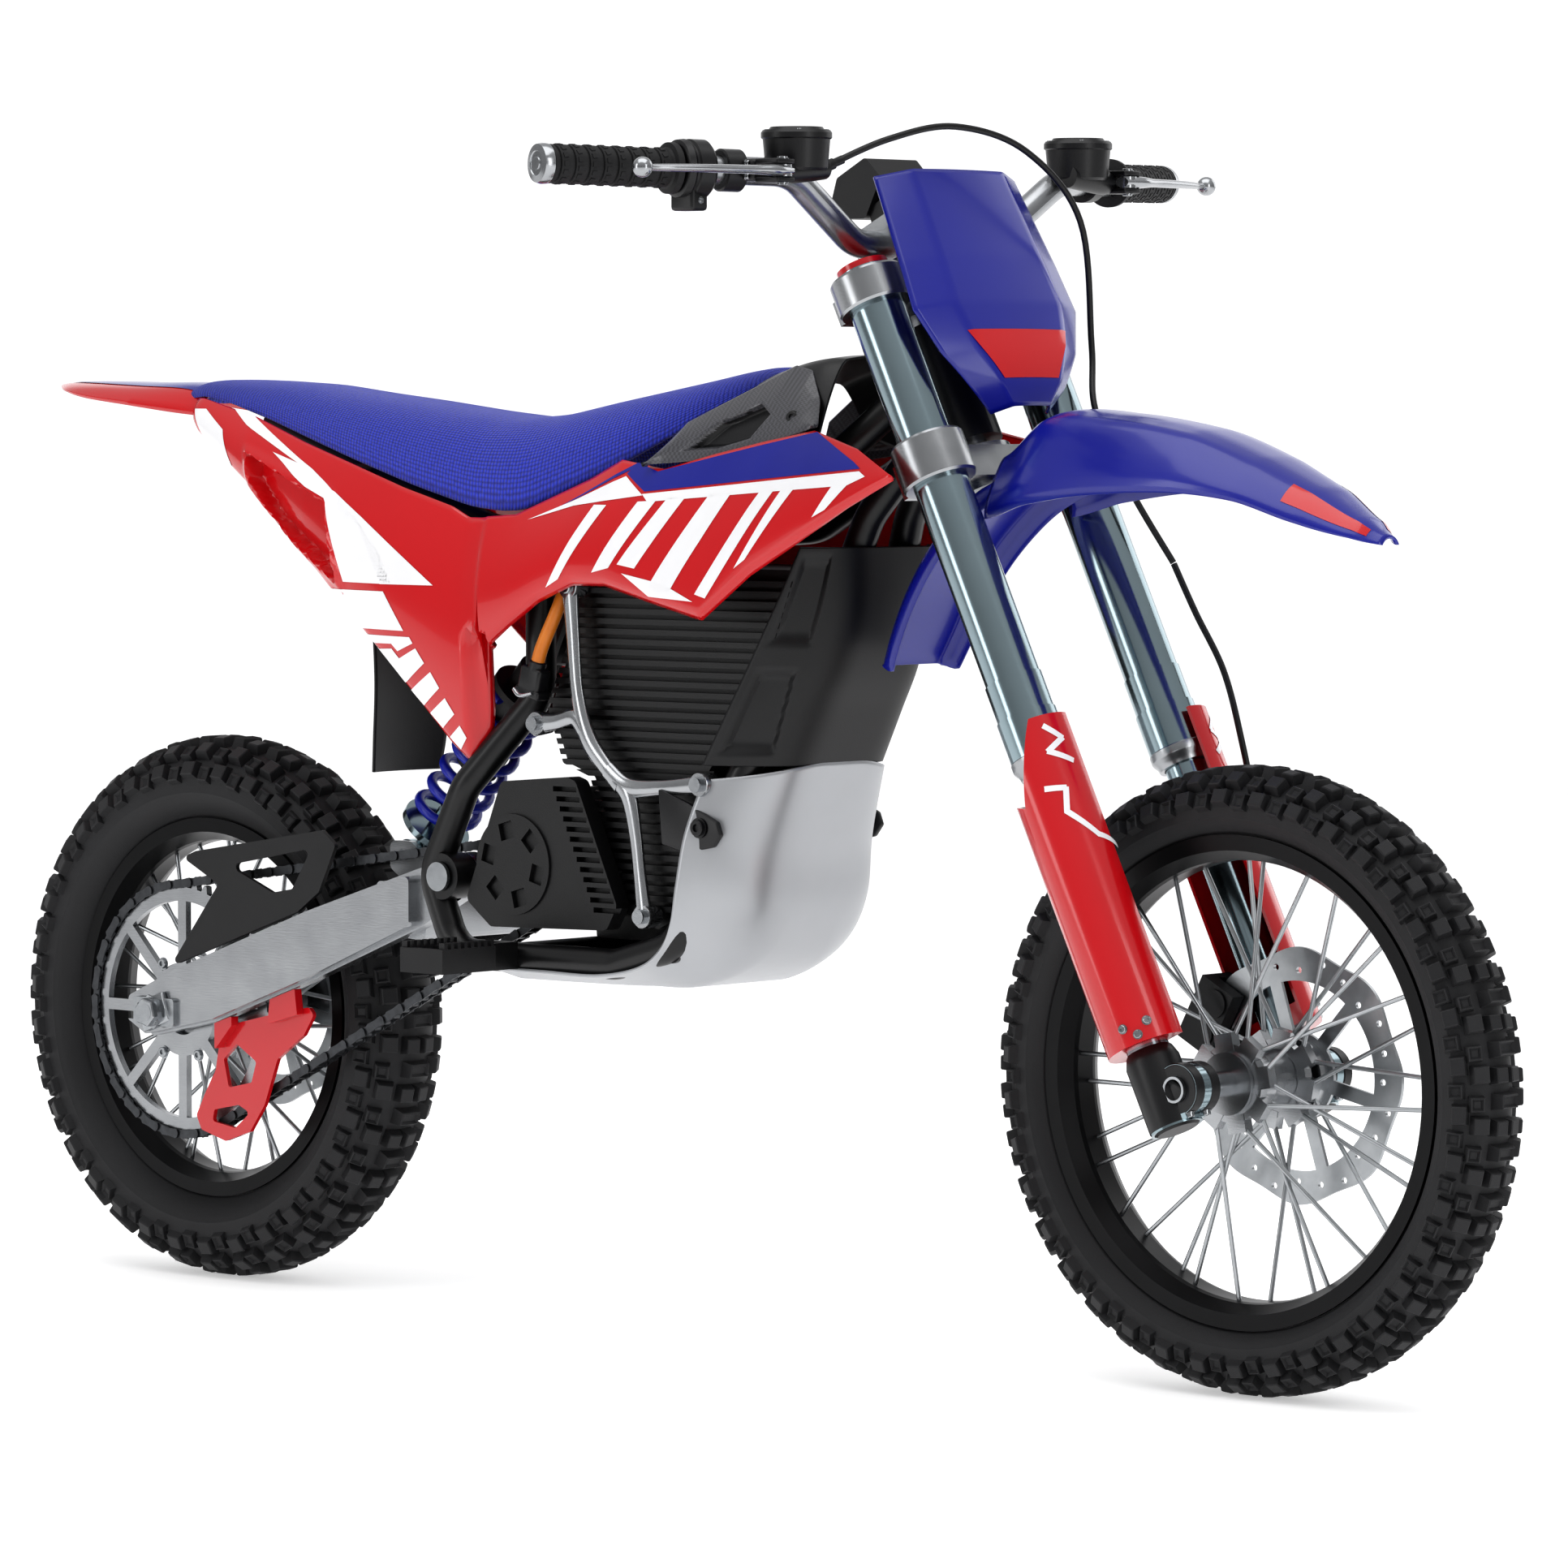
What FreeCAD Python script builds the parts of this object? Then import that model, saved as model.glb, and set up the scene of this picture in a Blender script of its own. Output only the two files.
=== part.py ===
import FreeCAD, Part
import math
import os

# Youth electric motocross bike, drawn at full size in millimetres.
# +X points forward, +Y to the rider's left, +Z up; the ground is z = 0.
# The origin lies on the ground, midway between the front and rear ends of the tyres.

# ---- overall sizes ----
WHEELBASE = 1126.0
FRONT_TYRE_RADIUS = 240.0
REAR_TYRE_RADIUS = 233.5
FRONT_TYRE_HALF_WIDTH = 36.5
FRONT_TYRE_SECTION = 34.0         # half height of the rounded section
REAR_TYRE_HALF_WIDTH = 44.8
REAR_TYRE_SECTION = 42.0
FRONT_RIM_RADIUS = 188.0          # 14 inch rim, over the flange
REAR_RIM_RADIUS = 163.0           # 12 inch rim, over the flange
FRONT_RIM_HALF_WIDTH = 24.5
REAR_RIM_HALF_WIDTH = 27.0
RIM_DEPTH = 20.0                  # from the flange edge in to the spoke bed
RIM_WALL = 3.0
TYRE_OVERLAP = 4.0                # how far the bead sits inside the rim flange

# ---- fork and steering ----
RAKE = 26.0                       # degrees that the fork leans back
AXLE_LEAD = 21.5                  # axle ahead of the fork tubes
STEM_SET_BACK = 26.0              # steering axis behind the fork tubes
FORK_HALF_SPACING = 83.3
FORK_OUTER_RADIUS = 21.8
FORK_BELL_RADIUS = 23.8
FORK_BORE_RADIUS = 18.6
STANCHION_RADIUS = 16.5
STANCHION_BORE = 13.0
FORK_OPEN_END = 274.0             # bottom of the outer tube above the axle foot
FORK_TOP_END = 694.0
FORK_TRAVEL = 150.0
LOWER_CLAMP_FROM = 514.0
LOWER_CLAMP_TO = 548.0
UPPER_CLAMP_FROM = 664.0
UPPER_CLAMP_TO = 690.0
CLAMP_WALL = 7.0
HEAD_TUBE_RADIUS = 27.0
HEAD_TUBE_BORE = 23.0
HEAD_TUBE_FROM = 556.0
HEAD_TUBE_TO = 656.0
STEM_RADIUS = 14.0
GUARD_RADIUS = 31.0
GUARD_WALL = 2.5

# ---- wheels ----
FRONT_AXLE_RADIUS = 10.0
FRONT_AXLE_BORE = 8.0
FRONT_AXLE_HALF = 99.4
REAR_AXLE_RADIUS = 7.5
REAR_AXLE_HALF = 103.2
HUB_RADIUS = 21.0
HUB_FLANGE_RADIUS = 36.0
HUB_FLANGE_Y = 27.0
HUB_HALF_WIDTH = 36.0
SPOKE_RADIUS = 1.8
SPOKE_LUGS = 8
DISC_THICKNESS = 3.0
FRONT_DISC_RADIUS = 99.0
FRONT_DISC_Y = 54.0
REAR_DISC_RADIUS = 90.0
REAR_DISC_Y = 56.0
RUNNING_GAP = 0.05                # radial, shaft in bearing
SLIDING_GAP = 0.06                # radial, stanchion in bush

# ---- drive ----
CHAIN_PITCH = 12.7
REAR_TEETH = 53
DRIVE_TEETH = 12
CHAIN_Y = -56.0
CHAIN_HALF_WIDTH = 8.0
CHAIN_PLATE = 2.2
CHAIN_HALF_HEIGHT = 5.5
SPROCKET_HALF_THICKNESS = 3.0
MOTOR_X = -96.0
MOTOR_Z = 380.0
BADGE_X = -131.0                  # centre of the vented dish on the motor cover
BADGE_Z = 379.0
MOTOR_SHAFT_RADIUS = 9.0

# ---- rear suspension ----
PIVOT_X = -208.0
PIVOT_Z = 366.0
PIVOT_BOLT_RADIUS = 7.5
ARM_INNER_Y = 67.0
ARM_STEP_Y = 79.0
ARM_OUTER_Y = 88.0
SHOCK_TOP_X = -178.0
SHOCK_TOP_Z = 549.0
SHOCK_LOW_X = -340.0
SHOCK_LOW_Z = 374.0
SHOCK_PIN_RADIUS = 5.0
SHOCK_EYE_RADIUS = 13.0
SHOCK_EYE_HALF = 12.0
SHOCK_TUBE_RADIUS = 19.0
SHOCK_BORE_RADIUS = 15.0
SHOCK_ROD_RADIUS = 7.0
SPRING_WIRE = 4.2
SPRING_RADIUS = 24.6
OPEN_EYE_GAP = 2.0                # clearance of the lower eye, where the loop is opened

# ---- frame and body ----
FRAME_TUBE_RADIUS = 12.5
CROSS_TUBE_RADIUS = 10.0
RAIL_TUBE_RADIUS = 9.0
CRADLE_Y = 93.0
BATTERY_HALF_WIDTH = 78.0
PANEL_WALL = 3.0
BODY_GAP = 1.0                    # between neighbouring body pieces
SEAM_GAP = 0.2                    # round a tube where another piece of the chassis is fitted to it
BOLT_GAP = 0.1                    # radial, bolt in a drilled hole

# ---- handlebar ----
BAR_RADIUS = 11.1
BAR_END_Y = 372.0
BAR_END_BEHIND = 396.25           # bar points behind the front axle, and above it
BAR_END_ABOVE = 693.7
BAR_BEND_Y = 160.0
BAR_BEND_BEHIND = 331.75
BAR_BEND_ABOVE = 690.0
BAR_CLAMP_BEHIND = 337.75
BAR_CLAMP_ABOVE = 636.0
GRIP_RADIUS = 15.5
GRIP_LENGTH = 118.0
GRIP_FLANGE_RADIUS = 20.0
LEVER_PIVOT_BEHIND = 297.75
LEVER_PIVOT_Y = 206.0
LEVER_ABOVE = 690.0

# ---- footpegs ----
PEG_PIVOT_X = -135.0
PEG_PIVOT_Z = 306.0
PEG_PIVOT_Y = 124.0
PEG_TIP_Y = 200.0

FRONT_X = (WHEELBASE + REAR_TYRE_RADIUS - FRONT_TYRE_RADIUS) / 2.0
REAR_X = FRONT_X - WHEELBASE
FRONT_Z = FRONT_TYRE_RADIUS
REAR_Z = REAR_TYRE_RADIUS
BAR_END_X = FRONT_X - BAR_END_BEHIND
BAR_END_Z = FRONT_Z + BAR_END_ABOVE
BAR_BEND_X = FRONT_X - BAR_BEND_BEHIND
BAR_BEND_Z = FRONT_Z + BAR_BEND_ABOVE
BAR_CLAMP_X = FRONT_X - BAR_CLAMP_BEHIND
BAR_CLAMP_Z = FRONT_Z + BAR_CLAMP_ABOVE
LEVER_PIVOT_X = FRONT_X - LEVER_PIVOT_BEHIND
LEVER_Z = FRONT_Z + LEVER_ABOVE
REAR_PITCH_RADIUS = CHAIN_PITCH / (2 * math.sin(math.pi / REAR_TEETH))
DRIVE_PITCH_RADIUS = CHAIN_PITCH / (2 * math.sin(math.pi / DRIVE_TEETH))

AXIS_Y = FreeCAD.Vector(0, 1, 0)
FORK_UP = FreeCAD.Vector(-math.sin(math.radians(RAKE)), 0, math.cos(math.radians(RAKE)))
FORK_AHEAD = FreeCAD.Vector(math.cos(math.radians(RAKE)), 0, math.sin(math.radians(RAKE)))


def point(x, y, z):
    return FreeCAD.Vector(x, y, z)


def on_fork(up, ahead=0.0, y=0.0):
    """A point up the fork from the axle's level, and ahead of the fork tubes' axis."""
    axle = point(FRONT_X, y, FRONT_Z)
    return axle + FORK_UP * up + FORK_AHEAD * (ahead - AXLE_LEAD)


def rod(start, end, radius):
    """A solid round bar between two points."""
    along = end.sub(start)
    return Part.makeCylinder(radius, along.Length, start, along)


def pipe(start, end, radius, bore):
    """A straight tube between two points, open at both ends."""
    return rod(start, end, radius).cut(rod(start, end, bore))


def ring_y(x, z, y_from, y_to, radius, bore):
    """A ring or bush with its axis along Y."""
    return pipe(point(x, y_from, z), point(x, y_to, z), radius, bore)


def rounded_wire(points, radius, closed):
    """Straight runs joined by tangent arcs of one radius."""
    count = len(points)
    edges = []
    corners = []
    for i in range(count):
        if not closed and i in (0, count - 1):
            corners.append((points[i], points[i], None))
            continue
        back = points[i - 1].sub(points[i])
        ahead = points[(i + 1) % count].sub(points[i])
        back.normalize()
        ahead.normalize()
        half = math.acos(max(-1.0, min(1.0, back.dot(ahead)))) / 2.0
        if math.pi / 2 - half < 0.01 or radius <= 0:
            corners.append((points[i], points[i], None))
            continue
        reach = radius / math.tan(half)
        middle = back + ahead
        middle.normalize()
        top = points[i] + middle * (radius / math.sin(half) - radius)
        corners.append((points[i] + back * reach, points[i] + ahead * reach, top))
    for i in range(count):
        start, end, top = corners[i]
        if top is not None:
            edges.append(Part.Arc(start, top, end).toShape())
        if closed or i < count - 1:
            following = corners[(i + 1) % count][0]
            if end.sub(following).Length > 1e-4:
                edges.append(Part.makeLine(end, following))
    return Part.Wire(edges)


def plate_y(outline, y_from, y_to, corner=0.0):
    """A flat plate from an (x, z) outline, with rounded corners, standing across Y."""
    wire = rounded_wire([point(x, y_from, z) for x, z in outline], corner, True)
    return Part.Face(wire).extrude(point(0, y_to - y_from, 0))


def bent_rod(points, radius, bend):
    """A round bar or cable along straight runs joined by tangent arcs."""
    path = rounded_wire(points, bend, False)
    along = points[1].sub(points[0])
    circle = Part.Wire(Part.makeCircle(radius, points[0], along))
    return path.makePipeShell([circle], True, False, 2)


def lathe_y(profile, x, z):
    """A wheel-like solid from a closed (radius, y) profile, turned about Y."""
    outline = [point(x + radius, y, z) for radius, y in profile]
    face = Part.Face(Part.makePolygon(outline + outline[:1]))
    return face.revolve(point(x, 0, z), AXIS_Y, 360)


def skin(sections):
    """A solid between closed polygons that all have the same number of corners."""
    wires = [Part.makePolygon(section + section[:1]) for section in sections]
    return Part.makeLoft(wires, True, True)


def mirror_y(shape):
    return shape.mirror(point(0, 0, 0), AXIS_Y)


def both_sides(shape):
    return [shape, mirror_y(shape)]


def save(name, solids):
    shape = solids[0] if len(solids) == 1 else Part.makeCompound(solids)
    shape.exportStep("parts/" + name + ".step")


def fuse_all(solids):
    return solids[0].multiFuse(solids[1:]).removeSplitter()


def fitted(shape, neighbours):
    """The shape with its neighbours' room cut out of it, without any crumbs that leaves."""
    for other in neighbours:
        shape = shape.cut(other)
    largest = max(solid.Volume for solid in shape.Solids)
    return [solid for solid in shape.Solids if solid.Volume > largest * 0.02]


# ---- wheels ----

def tyre(radius, half_width, section_half, rim_radius, rim_half_width, x, z):
    """Rounded tyre carcass; the tread blocks lie inside its outline."""
    middle = radius - section_half
    bead = rim_radius - TYRE_OVERLAP
    inner = rim_half_width - RIM_WALL - 0.8
    steps = 24
    arc = []
    for i in range(steps + 1):
        turn = math.radians(118.0) * (1 - 2.0 * i / steps)
        arc.append((middle + section_half * math.cos(turn), half_width * math.sin(turn)))
    arc = [(r, y) for r, y in arc if r > rim_radius + 1.5]
    foot = [(bead, inner), (rim_radius + 0.5, inner)]
    profile = foot + arc + [(r, -y) for r, y in reversed(foot)]
    wall = 9.0
    hollow = [(bead - 1, inner - 5), (bead + 5, inner - 5)]
    for i in range(9):
        turn = math.radians(80.0) * (1 - i / 4.0)
        hollow.append((middle + (section_half - 1.6 * wall) * math.cos(turn),
                       (half_width - wall) * math.sin(turn)))
    hollow += [(bead + 5, 5 - inner), (bead - 1, 5 - inner)]
    return lathe_y(profile, x, z).cut(lathe_y(hollow, x, z))


def rim(rim_radius, half_width, x, z):
    bed = rim_radius - RIM_DEPTH
    half = [(rim_radius, half_width), (rim_radius, half_width - RIM_WALL),
            (rim_radius - 9, half_width - RIM_WALL - 1), (bed + RIM_WALL + 1, 9)]
    outside = [(bed, -9), (bed + 1, -13), (rim_radius - 12, -half_width),
               (rim_radius, -half_width)]
    profile = half + [(r, -y) for r, y in reversed(half)][:-1]
    profile += [(r, y) for r, y in reversed(outside)]
    profile += [(r, -y) for r, y in outside][:-1]
    return lathe_y(profile, x, z)


def hub(x, z, bearing_bore, extra_flange_y):
    """Hub barrel with spoke flanges, lugs, and bearing bores."""
    barrel = lathe_y([(bearing_bore, -HUB_HALF_WIDTH), (HUB_RADIUS + 3, -HUB_HALF_WIDTH),
                      (HUB_RADIUS, 0), (HUB_RADIUS + 3, HUB_HALF_WIDTH),
                      (bearing_bore, HUB_HALF_WIDTH)], x, z)
    pieces = [barrel]
    for side in (-1, 1):
        y = side * HUB_FLANGE_Y
        pieces.append(ring_y(x, z, y - 4, y + 4, HUB_FLANGE_RADIUS - 6, HUB_RADIUS - 1))
        for i in range(SPOKE_LUGS):
            lug = Part.makeBox(14, 9, 17, point(x + HUB_FLANGE_RADIUS - 12, y - 4.5, z - 8.5))
            lug.rotate(point(x, 0, z), AXIS_Y, 360.0 * i / SPOKE_LUGS + side * 11.25)
            pieces.append(lug)
    for y in extra_flange_y:
        pieces.append(ring_y(x, z, min(y, 0.8 * y), max(y, 0.8 * y), 30, bearing_bore))
    return fuse_all(pieces)


def spokes(x, z, rim_radius):
    """Two crossing spokes from every hub lug to the rim bed."""
    bars = []
    bed = rim_radius - RIM_DEPTH + 1.0
    for side in (-1, 1):
        for i in range(SPOKE_LUGS):
            middle = math.radians(360.0 * i / SPOKE_LUGS + side * 11.25)
            for lean in (-1, 1):
                low = middle + lean * math.radians(9)
                high = middle + lean * math.radians(30)
                start = point(x + (HUB_FLANGE_RADIUS - 1) * math.cos(low),
                              side * HUB_FLANGE_Y + lean * 2.0,
                              z - (HUB_FLANGE_RADIUS - 1) * math.sin(low))
                end = point(x + bed * math.cos(high), side * 5.0, z - bed * math.sin(high))
                bars.append(rod(start, end, SPOKE_RADIUS))
    return bars


def wave_disc(x, z, y, radius, waves):
    """Brake disc with a wavy edge, an open middle on six arms, and vent holes."""
    edge = []
    for i in range(waves * 6):
        turn = 2 * math.pi * i / (waves * 6)
        r = radius - 2.5 + 2.5 * math.cos(waves * turn)
        edge.append(point(x + r * math.cos(turn), y - DISC_THICKNESS / 2, z + r * math.sin(turn)))
    curve = Part.BSplineCurve()
    curve.interpolate(edge, PeriodicFlag=True)
    disc = Part.Face(Part.Wire(curve.toShape())).extrude(point(0, DISC_THICKNESS, 0))
    window = ring_y(x, z, y - 5, y + 5, radius - 26, 34)
    for i in range(6):
        arm = Part.makeBox(radius, 10, 11, point(x, y - 5, z - 5.5))
        arm.rotate(point(x, y, z), AXIS_Y, 60.0 * i + 12)
        window = window.cut(arm)
    holes = [rod(point(x, y - 5, z), point(x, y + 5, z), 23.0)]
    for i in range(waves * 3):
        turn = 2 * math.pi * i / (waves * 3)
        r = radius - 14 + 4 * (i % 3 - 1)
        at = point(x + r * math.cos(turn), y - 5, z + r * math.sin(turn))
        holes.append(rod(at, at + point(0, 10, 0), 2.6))
    return disc.cut(Part.makeCompound([window] + holes))


def sprocket_teeth(x, z, y, pitch_radius, teeth, bore, half_thickness):
    """Toothed plate with pointed teeth between the rollers' seats."""
    outline = []
    for i in range(teeth):
        for share, r in ((-0.30, pitch_radius - 2.2), (-0.12, pitch_radius + 3.6),
                         (0.12, pitch_radius + 3.6), (0.30, pitch_radius - 2.2)):
            turn = 2 * math.pi * (i + share) / teeth
            outline.append((x + r * math.cos(turn), z + r * math.sin(turn)))
    plate = plate_y(outline, y - half_thickness, y + half_thickness)
    return plate.cut(rod(point(x, y - 20, z), point(x, y + 20, z), bore))


def make_front_wheel():
    x, z = FRONT_X, FRONT_Z
    bore = FRONT_AXLE_RADIUS + RUNNING_GAP
    save("front_hub", [hub(x, z, bore, (FRONT_DISC_Y - DISC_THICKNESS / 2,))])
    save("front_rim", [rim(FRONT_RIM_RADIUS, FRONT_RIM_HALF_WIDTH, x, z)])
    save("front_spokes", spokes(x, z, FRONT_RIM_RADIUS))
    save("front_tyre", [tyre(FRONT_TYRE_RADIUS, FRONT_TYRE_HALF_WIDTH, FRONT_TYRE_SECTION,
                             FRONT_RIM_RADIUS, FRONT_RIM_HALF_WIDTH, x, z)])
    save("front_disc", [wave_disc(x, z, FRONT_DISC_Y, FRONT_DISC_RADIUS, 8)])


def make_rear_wheel():
    x, z = REAR_X, REAR_Z
    bore = REAR_AXLE_RADIUS + RUNNING_GAP
    carrier = CHAIN_Y + SPROCKET_HALF_THICKNESS
    save("rear_hub", [hub(x, z, bore, (REAR_DISC_Y - DISC_THICKNESS / 2, carrier))])
    save("rear_rim", [rim(REAR_RIM_RADIUS, REAR_RIM_HALF_WIDTH, x, z)])
    save("rear_spokes", spokes(x, z, REAR_RIM_RADIUS))
    save("rear_tyre", [tyre(REAR_TYRE_RADIUS, REAR_TYRE_HALF_WIDTH, REAR_TYRE_SECTION,
                            REAR_RIM_RADIUS, REAR_RIM_HALF_WIDTH, x, z)])
    save("rear_disc", [wave_disc(x, z, REAR_DISC_Y, REAR_DISC_RADIUS, 8)])
    teeth = sprocket_teeth(x, z, CHAIN_Y, REAR_PITCH_RADIUS, REAR_TEETH, 22,
                           SPROCKET_HALF_THICKNESS)
    window = ring_y(x, z, CHAIN_Y - 6, CHAIN_Y + 6, REAR_PITCH_RADIUS - 14, 40)
    for i in range(8):
        arm = Part.makeBox(REAR_PITCH_RADIUS, 20, 10, point(x, CHAIN_Y - 10, z - 5))
        arm.rotate(point(x, 0, z), AXIS_Y, 45.0 * i)
        window = window.cut(arm)
    save("rear_sprocket", [teeth.cut(window)])


# ---- front suspension and steering ----

def make_fork_lowers():
    """Inner tubes with the axle lugs, the guards, the axle and the caliper."""
    solids = []
    top = FORK_OPEN_END + FORK_TRAVEL + 70.0
    for side in (-1, 1):
        y = side * FORK_HALF_SPACING
        axle_room = rod(point(FRONT_X, -120, FRONT_Z), point(FRONT_X, 120, FRONT_Z),
                        FRONT_AXLE_RADIUS + BOLT_GAP)
        tube = pipe(on_fork(0, 0, y), on_fork(top, 0, y), STANCHION_RADIUS, STANCHION_BORE)
        solids.append(tube.cut(axle_room))
        foot = rod(on_fork(-24, 0, y), on_fork(0, 0, y), STANCHION_RADIUS + 4)
        inner, outer = side * 66.0, side * 95.0
        eye = rod(point(FRONT_X, inner, FRONT_Z), point(FRONT_X, outer, FRONT_Z), 19)
        web = Part.makeBox(AXLE_LEAD, 24, 34, point(0, -12, -17))
        web.rotate(point(0, 0, 0), AXIS_Y, -RAKE)
        web.translate(on_fork(-6, 0, y))
        lug = fuse_all([foot, eye, web])
        solids.append(lug.cut(axle_room).cut(tube))
    save("fork_inner_tubes", solids)
    save("front_axle", [pipe(point(FRONT_X, -FRONT_AXLE_HALF, FRONT_Z),
                             point(FRONT_X, FRONT_AXLE_HALF, FRONT_Z),
                             FRONT_AXLE_RADIUS, FRONT_AXLE_BORE)])
    make_fork_guards()
    make_front_caliper()


def make_fork_guards():
    """Half-round shields over the front and outer side of each inner tube."""
    y = -FORK_HALF_SPACING
    low, high = 42.0, 306.0
    shell = pipe(on_fork(low, 0, y), on_fork(high, 0, y), GUARD_RADIUS, GUARD_RADIUS - GUARD_WALL)
    cutter = Part.makeBox(200, 60, 400, point(-100, 0, 0))
    cutter.rotate(point(0, 0, 0), AXIS_Y, -RAKE)
    cutter.translate(on_fork(low - 20, 0, y + 9))
    slope = Part.makeBox(120, 120, 160, point(-120, -60, 0))
    slope.rotate(point(0, 0, 0), AXIS_Y, 24 - RAKE)
    slope.translate(on_fork(high - 62, -8, y))
    shell = shell.cut(cutter).cut(slope)
    collar = pipe(on_fork(low, 0, y), on_fork(low + 16, 0, y), GUARD_RADIUS - GUARD_WALL / 2,
                  STANCHION_RADIUS)
    guard = shell.fuse(collar.cut(cutter)).removeSplitter()
    save("fork_guards", both_sides(guard))


def caliper(x, z, y, turn, length):
    """Two-sided brake caliper bridging the disc's edge, with a pad each side."""
    body = Part.makeBox(34, 34, length, point(-17, -17, -length / 2))
    slot = Part.makeBox(31, DISC_THICKNESS + 4, length + 2,
                        point(-20, -DISC_THICKNESS / 2 - 2, -length / 2 - 1))
    body = body.cut(slot)
    for side in (-1, 1):
        for k in (-1, 1):
            bulge = Part.makeCylinder(11, 4, point(-4, side * 15, k * length / 4), point(0, side, 0))
            body = body.fuse(bulge)
    body = body.removeSplitter()
    body.rotate(point(0, 0, 0), AXIS_Y, turn)
    body.translate(point(x, y, z))
    return body


def make_front_caliper():
    turn = math.radians(152)
    r = FRONT_DISC_RADIUS - 9
    x = FRONT_X + r * math.cos(turn)
    z = FRONT_Z + r * math.sin(turn)
    body = caliper(x, z, FRONT_DISC_Y, -152, 54)
    hanger = plate_y([(FRONT_X - 60, FRONT_Z - 22), (FRONT_X - 40, FRONT_Z - 22),
                      (x + 12, z - 4), (x - 6, z + 14), (x - 16, z - 14)], 62, 71, 2)
    lug_room = [rod(point(FRONT_X, 60, FRONT_Z), point(FRONT_X, 99, FRONT_Z), 19 + SEAM_GAP),
                rod(on_fork(-26, 0, FORK_HALF_SPACING), on_fork(120, 0, FORK_HALF_SPACING),
                    STANCHION_RADIUS + 4 + SEAM_GAP)]
    save("front_caliper", fitted(fuse_all([body, hanger]), lug_room))


def make_fork_outers():
    """Outer tubes with the bell at the open end, and the slide bushes inside."""
    solids = []
    for side in (-1, 1):
        y = side * FORK_HALF_SPACING
        tube = rod(on_fork(FORK_OPEN_END + 55, 0, y), on_fork(FORK_TOP_END, 0, y),
                   FORK_OUTER_RADIUS)
        bell = rod(on_fork(FORK_OPEN_END + 2, 0, y), on_fork(FORK_OPEN_END + 42, 0, y),
                   FORK_BELL_RADIUS)
        step = rod(on_fork(FORK_OPEN_END + 42, 0, y), on_fork(FORK_OPEN_END + 72, 0, y),
                   (FORK_OUTER_RADIUS + FORK_BELL_RADIUS) / 2)
        seal = rod(on_fork(FORK_OPEN_END, 0, y), on_fork(FORK_OPEN_END + 2, 0, y),
                   FORK_BELL_RADIUS - 1.5)
        outer = fuse_all([tube, bell, step, seal])
        outer = outer.cut(rod(on_fork(FORK_OPEN_END - 1, 0, y),
                              on_fork(FORK_TOP_END + 1, 0, y), FORK_BORE_RADIUS))
        solids.append(outer)
        for start in (FORK_OPEN_END + 1, FORK_OPEN_END + 150):
            solids.append(pipe(on_fork(start, 0, y), on_fork(start + 22, 0, y), FORK_BORE_RADIUS,
                               STANCHION_RADIUS + SLIDING_GAP))
    save("fork_outer_tubes", solids)
    caps = []
    for side in (-1, 1):
        y = side * FORK_HALF_SPACING
        plug = rod(on_fork(FORK_TOP_END - 14, 0, y), on_fork(FORK_TOP_END, 0, y),
                   FORK_BORE_RADIUS)
        lip = rod(on_fork(FORK_TOP_END, 0, y), on_fork(FORK_TOP_END + 5, 0, y),
                  FORK_OUTER_RADIUS - 1)
        knob = rod(on_fork(FORK_TOP_END + 5, 0, y), on_fork(FORK_TOP_END + 9, 0, y), 8)
        caps.append(fuse_all([plug, lip, knob]))
    save("fork_caps", caps)


def triple_clamp(start, end, wall):
    """A yoke that holds both fork tubes and the steering stem."""
    pieces = []
    for side in (-1, 1):
        y = side * FORK_HALF_SPACING
        pieces.append(rod(on_fork(start, 0, y), on_fork(end, 0, y), FORK_OUTER_RADIUS + wall))
        ear = Part.makeBox(26, 16, end - start - 6, point(-40, -8, 0))
        ear.rotate(point(0, 0, 0), AXIS_Y, -RAKE)
        ear.translate(on_fork(start + 3, 0, side * (FORK_HALF_SPACING - 8)))
        pieces.append(ear)
    hub_ring = rod(on_fork(start, -STEM_SET_BACK), on_fork(end, -STEM_SET_BACK),
                   STEM_RADIUS + 16)
    web = Part.makeBox(34, 2 * FORK_HALF_SPACING, end - start - 8,
                       point(-17, -FORK_HALF_SPACING, 0))
    web.rotate(point(0, 0, 0), AXIS_Y, -RAKE)
    web.translate(on_fork(start + 4, -STEM_SET_BACK / 2))
    body = fuse_all(pieces + [hub_ring, web])
    for side in (-1, 1):
        y = side * FORK_HALF_SPACING
        body = body.cut(rod(on_fork(start - 20, 0, y), on_fork(end + 20, 0, y),
                            FORK_OUTER_RADIUS))
    return body.cut(rod(on_fork(start - 20, -STEM_SET_BACK), on_fork(end + 20, -STEM_SET_BACK),
                        STEM_RADIUS))


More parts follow.
